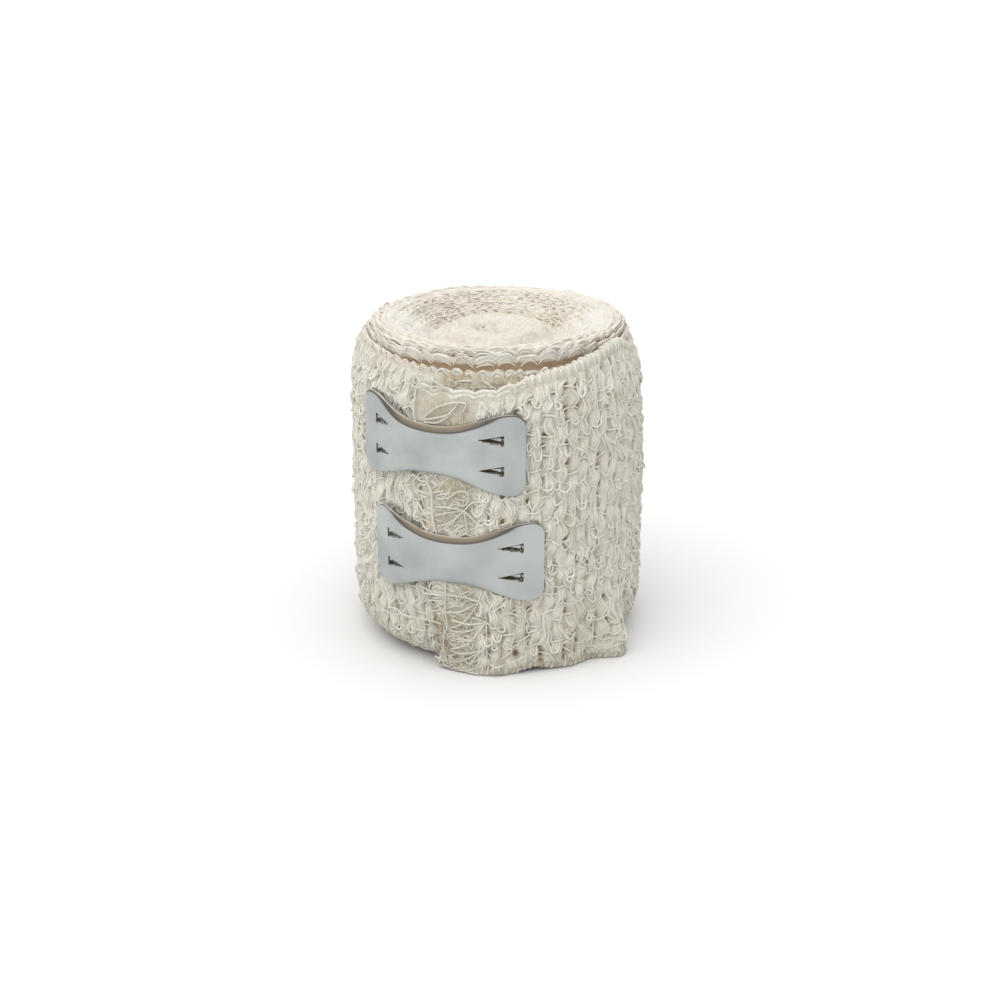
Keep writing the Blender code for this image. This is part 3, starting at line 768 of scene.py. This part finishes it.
def edge_waves(rng, first, last, lines, outermost, climb, thickness):
    """Yarns along the turns' edges, side by side from the outermost place (tinted darker, a painted
    shade) to the crest: each climbs over the loops of the selvedge, a sine to the power 0.8, and dips
    between two. The dips are tinted darkest where the turns are parted, a painted shade; further in
    the yarns are half sunk."""
    turns_in = np.linspace(first, last, int((last - first) * OUTER_TURN / 0.42))[None, :]
    line = np.linspace(0.0, 1.0, lines)[:, None]
    table, row = rng.uniform(-1.0, 1.0, (2 * lines, 3000)), np.arange(lines)[:, None]
    number = loop_number(turns_in)
    wander = value_noise(table, lines + row, 1.7 * number)
    number = number + 0.3 * value_noise(LOOP_TABLE, 0, number) + 0.15 * wander
    arch = np.abs(np.sin(np.pi * number)) ** 0.8 * (1.0 + 0.45 * value_noise(table, row, number + 0.5))
    across = outermost + (CREST - outermost) * line + 0.16 * arch + 0.06 * wander
    angle = STEP_ANGLE + 2.0 * np.pi * turns_in
    open_wall = parted(angle, turn_radius(turns_in + across))
    sunk = 0.3 * ease((turns_in - 4.0) / 1.5) * (1.0 - open_wall)
    lift = climb * upright(angle) * (arch - 0.6) + 0.1 * wander - 0.04 - sunk
    # Painted shade: the outermost yarns are tinted darker, and so are the dips where the turns are
    # parted.
    shade = -0.02 + 0.14 * line + rng.uniform(-0.06, 0.06, (lines, 1)) - 0.5 * open_wall * (1.0 - arch)
    return tubes(upper_edge(turns_in, across, lift), radial(angle), thickness, shade)


def end_strokes(rng, number, first, last, spread, thickness):
    """Short lengths of yarn that show on the upper end between two radii: they lie across the turns,
    within this spread of angles, each bent as a parabola with its ends sunk in."""
    radius = np.sqrt(rng.uniform(first ** 2, last ** 2, (number, 1)))
    angle = STEP_ANGLE + rng.uniform(0.01, 0.99, (number, 1)) * 2.0 * np.pi
    way, bend = rng.normal(0.0, spread, (number, 1)), rng.normal(0.0, 0.25, (number, 1))
    t = np.linspace(-0.5, 0.5, 5)[None, :] * rng.uniform(0.8, 2.0, (number, 1))
    radius = np.clip(radius + t * np.cos(way) + bend * t ** 2, 0.6, 27.5)
    angle = angle + (t * np.sin(way) - bend * t ** 2) / radius
    angle = np.clip(angle, STEP_ANGLE + 0.01, STEP_ANGLE + 6.27)
    share = (angle - STEP_ANGLE) / (2.0 * np.pi)
    turns_in = np.interp(radius, TURN_RADII[::-1], np.arange(len(TURN_RADII))[::-1]) - share
    turn = np.floor(turns_in)
    lift = rng.uniform(-0.23, -0.1, (number, 1)) - 0.2 * t ** 2 - 0.5 * parted(angle, radius)
    across = np.where(turn < 0.0, 0.3, turns_in - turn)
    points = upper_edge(np.maximum(turn, 0.0) + share, across, lift)
    return tubes(points, np.array([0.0, 0.0, 1.0]), thickness, rng.uniform(-0.15, 0.15, number))


def foot_loops(rng, first, last, lines):
    """Yarns on the lower end's loops, side by side: each hangs half a sine deep from one place to the
    next, and is held off the table."""
    start, stop = int(loop_number(first)) + 1, int(loop_number(last))
    index = np.repeat(np.arange(start, stop), lines)[:, None]
    line = np.tile(np.linspace(0.0, 1.0, lines), stop - start)[:, None]
    table = np.linspace(0.0, len(TURN_RADII), 6000)
    t = np.linspace(0.0, 1.0, 10)[None, :]
    number = index + t * 1.1 + rng.uniform(-0.1, 0.1, index.shape)
    turns_in = np.interp(number, loop_number(table), table)
    angle = STEP_ANGLE + 2.0 * np.pi * turns_in
    radius = turn_radius(turns_in + 0.5)
    arch = np.sin(np.pi * t)
    height = lower_height(radius) + 0.9 - 0.8 * arch + 0.2 * line + rng.uniform(-0.2, 0.2, index.shape)
    reach = end_radius(angle, radius, foot_lean(angle)) + 0.3 - 0.5 * line
    normals = at(angle, 1.0, -1.2) - np.array([AXIS[0], AXIS[1], 0.0])
    points = at(angle, reach, np.maximum(height, 0.3))
    return tubes(points, normals, 0.5, rng.uniform(-0.1, 0.12, len(index)))


rng = np.random.default_rng(11)
cloth_piece("selvedge_loops", [edge_waves(rng, 0.002, 3.0, 4, 0.06, 0.7, 0.34),
                                edge_waves(rng, 3.0, 5.0, 3, -0.08, 0.35, 0.44),
                                edge_waves(rng, 5.0, 12.0, 2, -0.08, 0.25, 0.4)], edge_cotton)
cloth_piece("upper_end_yarns", [end_strokes(rng, 1300, 2.0, 26.0, 0.6, 0.42)], edge_cotton)
cloth_piece("selvedge_loops_foot", [foot_loops(rng, 0.03, 3.0, 3)], edge_cotton)

# ------------------------------------------------------------------ loose end
# The last stretch of the same cloth. It comes round from behind over the right side and is cut off
# at the front, where its foot swells a little; at the front right its foot stands off as a flap.
LOOSE_END = np.array([        # degrees, lower selvedge, upper selvedge
    (-33.0, 1.2, 59.6), (-15.0, 0.1, 59.5), (-4.0, 0.0, 59.6), (6.0, 0.2, 60.6), (14.0, 1.1, 62.0),
    (24.0, 0.3, 62.8), (42.0, 0.0, 64.2), (53.0, 0.0, 65.2), (62.0, 3.4, 64.9), (80.0, 4.2, 62.2),
    (125.0, 3.8, 61.2), (200.0, 3.4, 62.8)]).T
FOLDS = (                     # degrees, degrees before and after it, height it runs up to, reach
    (-3.0, 17.0, 12.0, 14.0, 1.1), (51.5, 13.0, 8.0, 16.0, 4.2), (30.0, 12.0, 12.0, 11.0, 0.5),
    (95.0, 20.0, 18.0, 14.0, 0.6))
CUT_ANGLE = np.radians(-33.0)
CUT_LEAN = np.radians(11.0)
LOOSE_STOP = STEP_ANGLE + 2.0 * np.pi - 0.4 / ROLL_RADIUS
WOVEN_FROM = np.radians(-8.0)          # the first whole bundle of weft after the cut
RIDGE = 1.6                            # from one doubled yarn of the upper selvedge to the next


def loose_low(angle):
    """Lower selvedge."""
    return eased_table(np.degrees(angle), LOOSE_END[[0, 1]])


def loose_high(angle):
    """Upper selvedge; near the cut end it is slack and scalloped by loops of the weft."""
    slack = ease((np.radians(14.0) - angle) / 0.2)
    scallop = np.abs(np.sin(np.pi * angle * ARC_RADIUS / 4.2)) ** 0.7 - 0.7
    return eased_table(np.degrees(angle), LOOSE_END[[0, 2]]) + 0.6 * slack * scallop


def loose_inside(angle, height):
    """Inner face of the loose end: the roll's side, a gap, and the folds, each of them a bump in
    angle that fades upwards."""
    reach = side_radius(angle, height) + GAP
    degrees = np.degrees(angle)
    for place, before, after, top, far in FOLDS:
        width = np.where(degrees < place, before, after)
        reach = reach + far * ease(1.0 - np.abs(degrees - place) / width) * ease(1.0 - height / top)
    return reach


def loose_base(angle, height):
    """Outer face before the weave: the inner one and the cloth's thickness, puckered, dented by the
    clips' right teeth, drawn in at the right, most near the top, where the cloth is taut, and ribbed
    along the upper selvedge by its doubled weft, a cosine along the edge."""
    below = loose_high(angle) - height
    top = ease(1.0 - np.abs(below - 1.2) / 1.5)
    ribs = 0.22 * np.cos(2.0 * np.pi * (angle * ARC_RADIUS / RIDGE - 0.25 * below))
    at_right = ease((angle - np.radians(40.0)) / 0.5) * ease((np.radians(165.0) - angle) / 0.6)
    drawn_in = (0.3 + 0.6 * ease((height - 42.0) / 10.0)) * at_right
    return (loose_inside(angle, height) + CLOTH - drawn_in + 0.6 * crinkle(angle, height)
            - 0.95 * tooth_dent(angle, height) + top * ribs * ease((angle - WOVEN_FROM) / 0.1 + 0.5))


def cut_shift(angle, share):
    """The cut runs askew: its foot is 11 degrees further right, which fades along the cloth."""
    along = (angle - CUT_ANGLE) / (LOOSE_STOP - CUT_ANGLE)
    return CUT_LEAN * (1.0 - share) * ease(1.0 - along * 8.0)


def woven_low(angle):
    """Where the weave starts above the lower selvedge."""
    return loose_low(angle) + 1.2


def woven_high(angle):
    """Where the weave stops under the whipped upper selvedge."""
    return loose_high(angle) - 2.0


loose_weave = Weave(loose_base, WOVEN_FROM, LOOSE_STOP, woven_low, woven_high, cut_shift, 31)
FACE_ROWS = 104                        # of the sheet's mesh, on its outer and its inner face
BACK_ROWS = 18
LOOSE_COLUMNS = 301


def loose_skin(middle, share, inner):
    """Points of the sheet's skin, on its outer (0) or inner (1) face; the two come together at its
    rims. Returns them with their UV and tint; the tint is lighter on the swells and darker in the
    pits and under the clips' teeth, a painted shade."""
    low, high = loose_low(middle), loose_high(middle)
    height = low + (high - low) * share
    angle = middle + cut_shift(middle, share)
    to_edge = np.minimum(share, 1.0 - share) * CLOTH_WIDTH
    to_end = np.minimum(middle - CUT_ANGLE, LOOSE_STOP - middle) * ARC_RADIUS
    pinch = 0.35 * (1.0 - np.minimum(ease(to_edge / 0.6), ease(to_end / 0.6)))
    swell, pit = loose_weave.relief(angle, height)
    outside = loose_base(angle, height) + swell - PIT_DEPTH * pit
    inside = loose_inside(angle, height)
    radius = outside + (inside - outside) * (inner + pinch * (1.0 - 2.0 * inner))
    woven, hem = ease((middle - WOVEN_FROM) / 0.05 + 1.0), ease(1.0 - (high - height) / 3.5)
    # Painted shade: the tint is lighter on the swells and darker in the pits and under the clips' teeth.
    shade = (-0.2 + 0.15 * woven + 0.14 * hem + 0.4 * swell - 0.45 * pit
             - 0.8 * tooth_dent(angle, height))
    return grid_part(at(angle, radius, height), (angle * ARC_RADIUS, height), shade)


def loose_cloth():
    """The sheet as a closed skin: up the outer face, down the inner one."""
    up, down = np.linspace(0.0, 1.0, FACE_ROWS), np.linspace(1.0, 0.0, BACK_ROWS)
    share = np.concatenate((up, down, up[:1]))[:, None]
    inner = np.concatenate((0.0 * up, 1.0 + 0.0 * down, [0.0]))[:, None]
    middle = np.linspace(CUT_ANGLE, LOOSE_STOP, LOOSE_COLUMNS)[None, :]
    return put_mesh("loose_end_cloth", [loose_skin(middle, share, inner)])


loose = loose_cloth()
weld_and_close(loose)
loose.data.materials.append(ground_cotton)
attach(loose, "root")
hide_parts("loose_end")
weft = cloth_piece("loose_end_weft", [loose_weave.weft()], side_cotton)
warp = cloth_piece("loose_end_warp", [loose_weave.warp(), *loose_weave.loops(330)], side_cotton)

# ------------------------------------------------------------------ selvedges of the loose end
# Along its edges the weft turns round in doubled yarns that lie side by side like a whipped edge,
# slanted a little; towards the cut end the upper one is slack, and two yarns follow its scallops.


def whipped_edge(edge, start, stop, pitch, thickness, rng, end=1.0):
    """Ridges on the upper selvedge, or (end -1) the lower: each yarn comes along the outer face, over
    the edge and a little back on the inner face; outwards it goes as a cosine, upwards as a sine,
    and it leans to the left."""
    middle = np.arange(start, stop, 0.5 * pitch / ARC_RADIUS)[:, None]
    middle = middle + rng.uniform(-0.007, 0.007, middle.shape)
    pair = (np.arange(len(middle)) % 2)[:, None]
    t = np.linspace(0.0, 1.0, 12)[None, :]
    leg = 2.6 + rng.uniform(-0.6, 0.8, middle.shape)
    over = np.clip((t - 0.55) / 0.3, 0.0, 1.0) * np.pi
    climb, fall = np.clip(1.0 - t / 0.55, 0.0, 1.0), np.clip((t - 0.85) / 0.15, 0.0, 1.0)
    up = -leg * climb + 0.45 * np.sin(over) - 1.2 * fall
    out = -0.55 * CLOTH * (1.0 - np.cos(over)) + 0.35 * ease(t / 0.4) - 0.15 - 0.5 * thickness
    angle = middle + (-0.6 * t + 0.14 * (pair - 0.5)) / ARC_RADIUS
    height = np.maximum(edge(angle) + end * (up - 0.15 * pair - 0.4), 0.35)
    inset = edge(angle) - end
    angle = angle + cut_shift(angle, 0.5 + 0.5 * end)
    points = at(angle, loose_base(angle, inset) + out, height)
    over = over[..., None]
    normals = radial(angle) * np.cos(over) + np.array([0.0, 0.0, end]) * np.sin(over)
    return tubes(points, normals, thickness, rng.uniform(-0.1, 0.1, len(middle)))


def hem_yarns(rng, start, stop, lines):
    """Yarns along the scalloped upper selvedge, one below the next, which wander a little."""
    middle = np.linspace(start, stop, 150)[None, :]
    line = np.linspace(0.0, 1.0, lines)[:, None]
    table, row = rng.uniform(-1.0, 1.0, (2 * lines, 80)), np.arange(lines)[:, None]
    wander = value_noise(table, row, (middle - start) * ARC_RADIUS / 1.9)
    height = loose_high(middle) - 0.2 - 0.9 * line + 0.2 * wander
    ends = ease(np.minimum(middle - start, stop - middle) / 0.04)
    waver = value_noise(table, lines + row, (middle - start) * ARC_RADIUS / 1.3)
    out = 0.35 * ends - 0.6 + 0.12 * waver
    angle = middle + cut_shift(middle, 1.0)
    points = at(angle, loose_base(angle, height) + out, height)
    return tubes(points, radial(angle), 0.8, rng.uniform(0.0, 0.1, lines))


rng = np.random.default_rng(41)
hem = hem_yarns(rng, np.radians(-31.0), np.radians(14.0), 2)
upper = whipped_edge(loose_high, np.radians(6.0), LOOSE_STOP, RIDGE, 0.9, rng)
lower = whipped_edge(loose_low, CUT_ANGLE, LOOSE_STOP, 2.4, 0.62, rng, end=-1.0)
selvedge = cloth_piece("loose_end_selvedge", [hem, upper, lower], side_cotton)

# ------------------------------------------------------------------ frayed cut end
# Where the cloth was cut, the last bundles of weft are gone. The freed warp fans out from knots in
# the first whole bundle to a last thread along the cut, and a few long ends have sprung out.
CUT_THREADS = (               # (degrees, height) of points along single threads, bottom or left first
    ((-19.2, 2.0), (-20.6, 4.5), (-20.0, 8.5), (-18.5, 10.5), (-19.5, 14.5), (-19.2, 19.5),
     (-21.8, 26.5)),
    ((-21.8, 26.5), (-22.8, 30.6), (-23.7, 34.5), (-24.2, 39.0), (-25.7, 41.2), (-23.0, 42.6)),
    ((-27.5, 44.5), (-29.6, 49.0), (-30.8, 53.5), (-31.0, 56.8), (-31.2, 58.9)),
    ((-18.4, 59.8), (-22.6, 61.0), (-26.5, 62.1), (-31.0, 61.9), (-33.2, 60.4), (-30.0, 59.4),
     (-24.4, 60.1), (-18.0, 59.8)),
    ((-27.2, 53.6), (-24.6, 55.1), (-20.9, 56.5), (-15.5, 57.5), (-11.2, 57.3), (-12.2, 55.7)),
    ((-27.0, 53.4), (-22.1, 54.1), (-17.5, 55.1), (-14.0, 57.3)),
    ((-26.8, 52.9), (-21.5, 53.2), (-16.2, 55.2)),
    ((-45.6, 11.0), (-41.1, 11.6), (-37.0, 11.0), (-31.1, 11.1), (-26.0, 11.2), (-20.8, 10.6)),
    ((-17.4, 30.0), (-13.7, 30.0), (-10.2, 31.4)),
    ((-14.3, 37.2), (-12.6, 36.6), (-10.9, 37.1), (-10.1, 38.7), (-11.0, 39.5), (-14.2, 39.5),
     (-17.6, 38.0), (-22.4, 37.4)),
    ((-12.3, 3.7), (-10.9, 2.7), (-8.4, 3.3), (-6.2, 4.3)))
FANS = (                      # knot, then ends: (degrees, height), and how far each sags
    ((-11.9, 35.6), ((-23.6, 33.6, 0.3), (-22.4, 31.6, -0.7), (-16.4, 32.5, 0.3), (-10.7, 31.5, 0.4),
                     (-6.0, 37.6, 0.8), (-7.0, 33.0, 0.2), (-22.8, 35.6, 0.5))),
    ((-3.9, 12.0), ((-18.3, 9.4, -0.9), (-17.6, 5.2, -1.3), (-9.6, 13.0, 0.2), (-1.0, 9.8, 0.3),
                    (-5.5, 17.8, 0.6), (-3.6, 4.2, 0.9), (-17.0, 12.0, -0.5))),
    ((-6.2, 16.5), ((-19.2, 13.4, -0.7), (-17.6, 9.9, -1.2), (-12.6, 17.9, -0.4), (-19.3, 17.4, 0.4))),
    ((-5.8, 5.9), ((-18.0, 4.8, -0.5), (-16.5, 2.2, -0.4), (-10.5, 2.0, 0.3))))


def through(points, count=24):
    """A smooth path (Catmull-Rom: cubic, tangent at a point half the step between its neighbours)."""
    points = np.array(points, dtype=float)
    ends = np.concatenate((2.0 * points[:1] - points[1:2], points, 2.0 * points[-1:] - points[-2:-1]))
    where = np.linspace(0.0, len(points) - 1.0, count)
    k = np.minimum(where.astype(int), len(points) - 2)
    t = (where - k)[:, None]
    a, b, c, d = ends[k], ends[k + 1], ends[k + 2], ends[k + 3]
    return 0.5 * (2.0 * b + (c - a) * t + (2.0 * a - 5.0 * b + 4.0 * c - d) * t ** 2
                  + (3.0 * b - a - 3.0 * c + d) * t ** 3)


def frayed_high(angle):
    """Top of the band along the cut that has lost its weft."""
    return loose_low(angle) + 47.0


def frays(rng):
    """The single threads, and for each fan a thread from the knot to each end whose middle sags. They
    stand off the cloth as a sine, the fourth of them, a loop at the top, a little further."""
    paths = [through(thread) for thread in CUT_THREADS]
    for knot, ends in FANS:
        for degrees, height, sag in ends:
            middle = (0.5 * (knot[0] + degrees), 0.5 * (knot[1] + height) + sag)
            paths.append(through((knot, middle, (degrees, height))))
    paths = np.array(paths)
    angle, height = np.radians(paths[..., 0]), paths[..., 1]
    share = np.linspace(0.0, 1.0, paths.shape[1])[None, :]
    lift = 0.35 + 0.35 * np.sin(np.pi * share) + rng.uniform(0.0, 0.2, (len(paths), 1))
    lift[3] += 0.4 * np.sin(np.pi * share[0])
    lift = np.minimum(lift, clip_room(angle, height) + 0.1)
    points = at(angle, loose_base(angle, np.minimum(height, 60.0)) + lift, height)
    return tubes(points, radial(angle), 0.38, rng.uniform(-0.1, 0.1, len(paths)))


rng = np.random.default_rng(53)
threads = frays(rng)
teased = stray_ends(rng, 420, loose_base, CUT_ANGLE + 0.005, WOVEN_FROM,
                    loose_low, frayed_high, cut_shift, 0.0)
fray = cloth_piece("cut_end_threads", [threads, teased], side_cotton)

# ------------------------------------------------------------------ clips
# Two clips of sheet aluminium, stamped as a bow tie with rolled edges at the waist and bent to the
# roll's curve. Four pointed teeth are cut free on three sides and bent down into the cloth.
ALUMINIUM_SHEET = 0.5
TOOTH_PLACE = 9.6                      # from the middle to the point of a tooth's hole
TOOTH_LENGTH = 4.9
CLIP_STAND = 0.9                       # lower face over the cloth's smooth face, on its relief
LIP = 1.4                              # width of the rolled edge
LIP_DROP = 0.6


def aluminium():
    """Satin rolled aluminium: soft reflections, a faint grain along the sheet and cloudy wear, which
    keep its large faces from looking like paint. A lip that is rolled to face upwards mirrors the
    brown of the cloth: it is darkest where it leaves the plate and warmer towards its edge. The tones
    stand for that reflection, by the upward part of the normal."""
    material, tree, shader = new_material("satin_aluminium")
    place = add_node(tree, "TexCoord").outputs["Object"]
    cloud = add_node(tree, "TexNoise", Vector=place, Scale=1.0 / (9.0 * MM), Detail=4.0)
    ramp = add_node(tree, "ValToRGB", i0=cloud.outputs["Fac"])
    ramp.color_ramp.elements[0].position = 0.36
    ramp.color_ramp.elements[0].color = linear("#A6ABAB")
    ramp.color_ramp.elements[1].position = 0.64
    ramp.color_ramp.elements[1].color = linear("#B9BEBD")
    normal = add_node(tree, "TexCoord").outputs["Normal"]
    turned_up = add_node(tree, "SeparateXYZ", Vector=normal).outputs["Z"]
    lip = add_node(tree, "MapRange", i0=turned_up, i1=0.05, i2=0.12).outputs[0]
    bands = add_node(tree, "ValToRGB", i0=turned_up)
    for position, tone in ((0.08, "#8A867E"), (0.15, "#625D57"), (0.22, "#6A645C"),
                           (0.34, "#777066"), (0.5, "#70675A"), (0.66, "#72685A")):
        bands.color_ramp.elements.new(position).color = linear(tone)
    colour = add_node(tree, "Mix", {"data_type": "RGBA"},
                      i0=lip, i6=ramp.outputs["Color"], i7=bands.outputs["Color"])
    tree.links.new(colour.outputs[2], shader.inputs["Base Color"])
    grain = add_node(tree, "Mapping", Vector=place, Scale=(1.0, 1.0, 12.0))
    scratch = add_node(tree, "TexNoise", Vector=grain.outputs[0], Scale=1.0 / (1.6 * MM), Detail=3.0)
    bump = add_node(tree, "Bump", Strength=0.6, Distance=0.006 * MM, Height=scratch.outputs["Fac"])
    tree.links.new(bump.outputs["Normal"], shader.inputs["Normal"])
    rough = add_node(tree, "MapRange", i0=cloud.outputs["Fac"], i3=0.3, i4=0.42)
    tree.links.new(rough.outputs[0], shader.inputs["Roughness"])
    shader.inputs["Metallic"].default_value = 1.0
    return material


satin_aluminium = aluminium()


def clip_point(clip, along, up, lift):
    """A point of a clip: along its curve, up its width, lift out of its lower face. It lies on the
    roll at its left end and climbs onto the loose end."""
    angle = np.radians(clip[0]) + along / CLIP_RADIUS
    height = clip[1] + up + along * np.tan(np.radians(clip[2]))
    on_cloth = (GAP + CLOTH) * ease((angle - np.radians(-52.0)) / np.radians(17.0))
    return at(angle, side_radius(angle, height) + on_cloth + CLIP_STAND + lift, height)


def clip_prism(clip, outline, low, high):
    """Points and faces of a prism through the clip over a triangle of (along, up, extra lift)."""
    along, up, lift = np.array(outline).T
    points = np.concatenate((clip_point(clip, along, up, low + lift),
                             clip_point(clip, along, up, high + lift)))
    return points * MM, [(0, 1, 2), (5, 4, 3), (0, 3, 4, 1), (1, 4, 5, 2), (2, 5, 3, 0)]


def mesh_of(name, parts):
    """An object of several (points, faces) with outward faces."""
    bm = bmesh.new()
    for points, faces in parts:
        verts = [bm.verts.new(point) for point in points]
        for face in faces:
            bm.faces.new([verts[k] for k in face])
    bmesh.ops.recalc_face_normals(bm, faces=bm.faces)
    mesh = bpy.data.meshes.new(name)
    bm.to_mesh(mesh)
    bm.free()
    return add_object(name, mesh)


def bake(obj):
    """Replaces an object's mesh by what its modifiers make of it."""
    graph = bpy.context.evaluated_depsgraph_get()
    mesh = bpy.data.meshes.new_from_object(obj.evaluated_get(graph))
    obj.modifiers.clear()
    obj.data = mesh


def build_clip(name, clip):
    """Plate over (along, across), both faces, with its rows closer together at the edges. At the
    waist its edges are rolled down by the square of the way out over the lip. Its holes are cut by
    prisms, and its teeth, each a neck and a point that is bent down, are let into it."""
    crown = np.linspace(-CLIP_CROWN, CLIP_CROWN, 91)
    corner = CLIP_CROWN + CLIP_CORNER * np.sin(np.linspace(0.0, 0.5 * np.pi, 13)[1:])
    along = np.concatenate((-corner[::-1], crown, corner))[None, :]
    level = np.linspace(-1.0, 1.0, 33)[:, None]
    across = np.sin(0.5 * np.pi * level) * 0.25 + level * 0.75
    half = clip_half(along)
    lip = LIP / half
    rolled = np.maximum(np.abs(across) - (1.0 - lip), 0.0) / lip
    at_waist = ease(1.35 * (1.0 - np.abs(along) / CLIP_CROWN))
    drop = -LIP_DROP * at_waist * rolled ** 2
    lower = clip_point(clip, along, half * across, drop)
    upper = clip_point(clip, along, half * across, drop + ALUMINIUM_SHEET)
    rows, columns = lower.shape[:2]
    count = rows * columns
    face = grid_faces(columns, rows)
    rim = np.concatenate((np.arange(columns), np.arange(1, rows) * columns + columns - 1,
                          count - 2 - np.arange(columns - 1), np.arange(rows - 2, 0, -1) * columns))
    after = np.roll(rim, -1)
    wall = np.stack((rim, after, after + count, rim + count), -1)
    faces = np.concatenate((face + count, face[:, ::-1], wall))
    plate = mesh_of(name, [(np.concatenate((lower, upper)).reshape(-1, 3) * MM, faces.tolist())])
    holes, teeth = [], []
    for side in (-1.0, 1.0):
        apex, base = side * TOOTH_PLACE, side * (TOOTH_PLACE + TOOTH_LENGTH)
        tip, knee, root = base - side * 2.7, base - side * 0.5, base + side * 0.3
        for up in (-TOOTH_RISE, TOOTH_RISE):
            hole = [(apex, up, 0.0), (base, up - 0.95, 0.0), (base, up + 0.95, 0.0)]
            neck = [(knee - side * 0.4, up, -1.3), (root, up - 0.5, 0.0), (root, up + 0.5, 0.0)]
            point = [(tip, up - 0.1, -1.2), (knee, up - 0.45, -0.8), (knee, up + 0.25, -0.8)]
            holes.append(clip_prism(clip, hole, -1.0, 1.5))
            teeth += [clip_prism(clip, neck, 0.05, 0.4), clip_prism(clip, point, 0.05, 0.4)]
    cutter = mesh_of(name + "_cutter", holes)
    cut = plate.modifiers.new("holes", "BOOLEAN")
    cut.object = cutter
    cut.solver = "EXACT"
    bake(plate)
    bpy.data.objects.remove(cutter)
    edge = plate.modifiers.new("edges", "BEVEL")
    edge.width = 0.1 * MM
    edge.segments = 2
    edge.limit_method = "ANGLE"
    edge.angle_limit = np.radians(50.0)
    bake(plate)
    tooth_mesh = mesh_of(name + "_teeth", teeth)
    bm = bmesh.new()
    bm.from_mesh(plate.data)
    bm.from_mesh(tooth_mesh.data)
    bm.to_mesh(plate.data)
    bm.free()
    bpy.data.objects.remove(tooth_mesh)
    plate.data.shade_smooth()
    plate.data.set_sharp_from_angle(angle=np.radians(40.0))
    plate.data.materials.clear()
    plate.data.materials.append(satin_aluminium)
    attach(plate, "root")
    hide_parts(name)


build_clip("clip_upper", CLIPS[0])
build_clip("clip_lower", CLIPS[1])
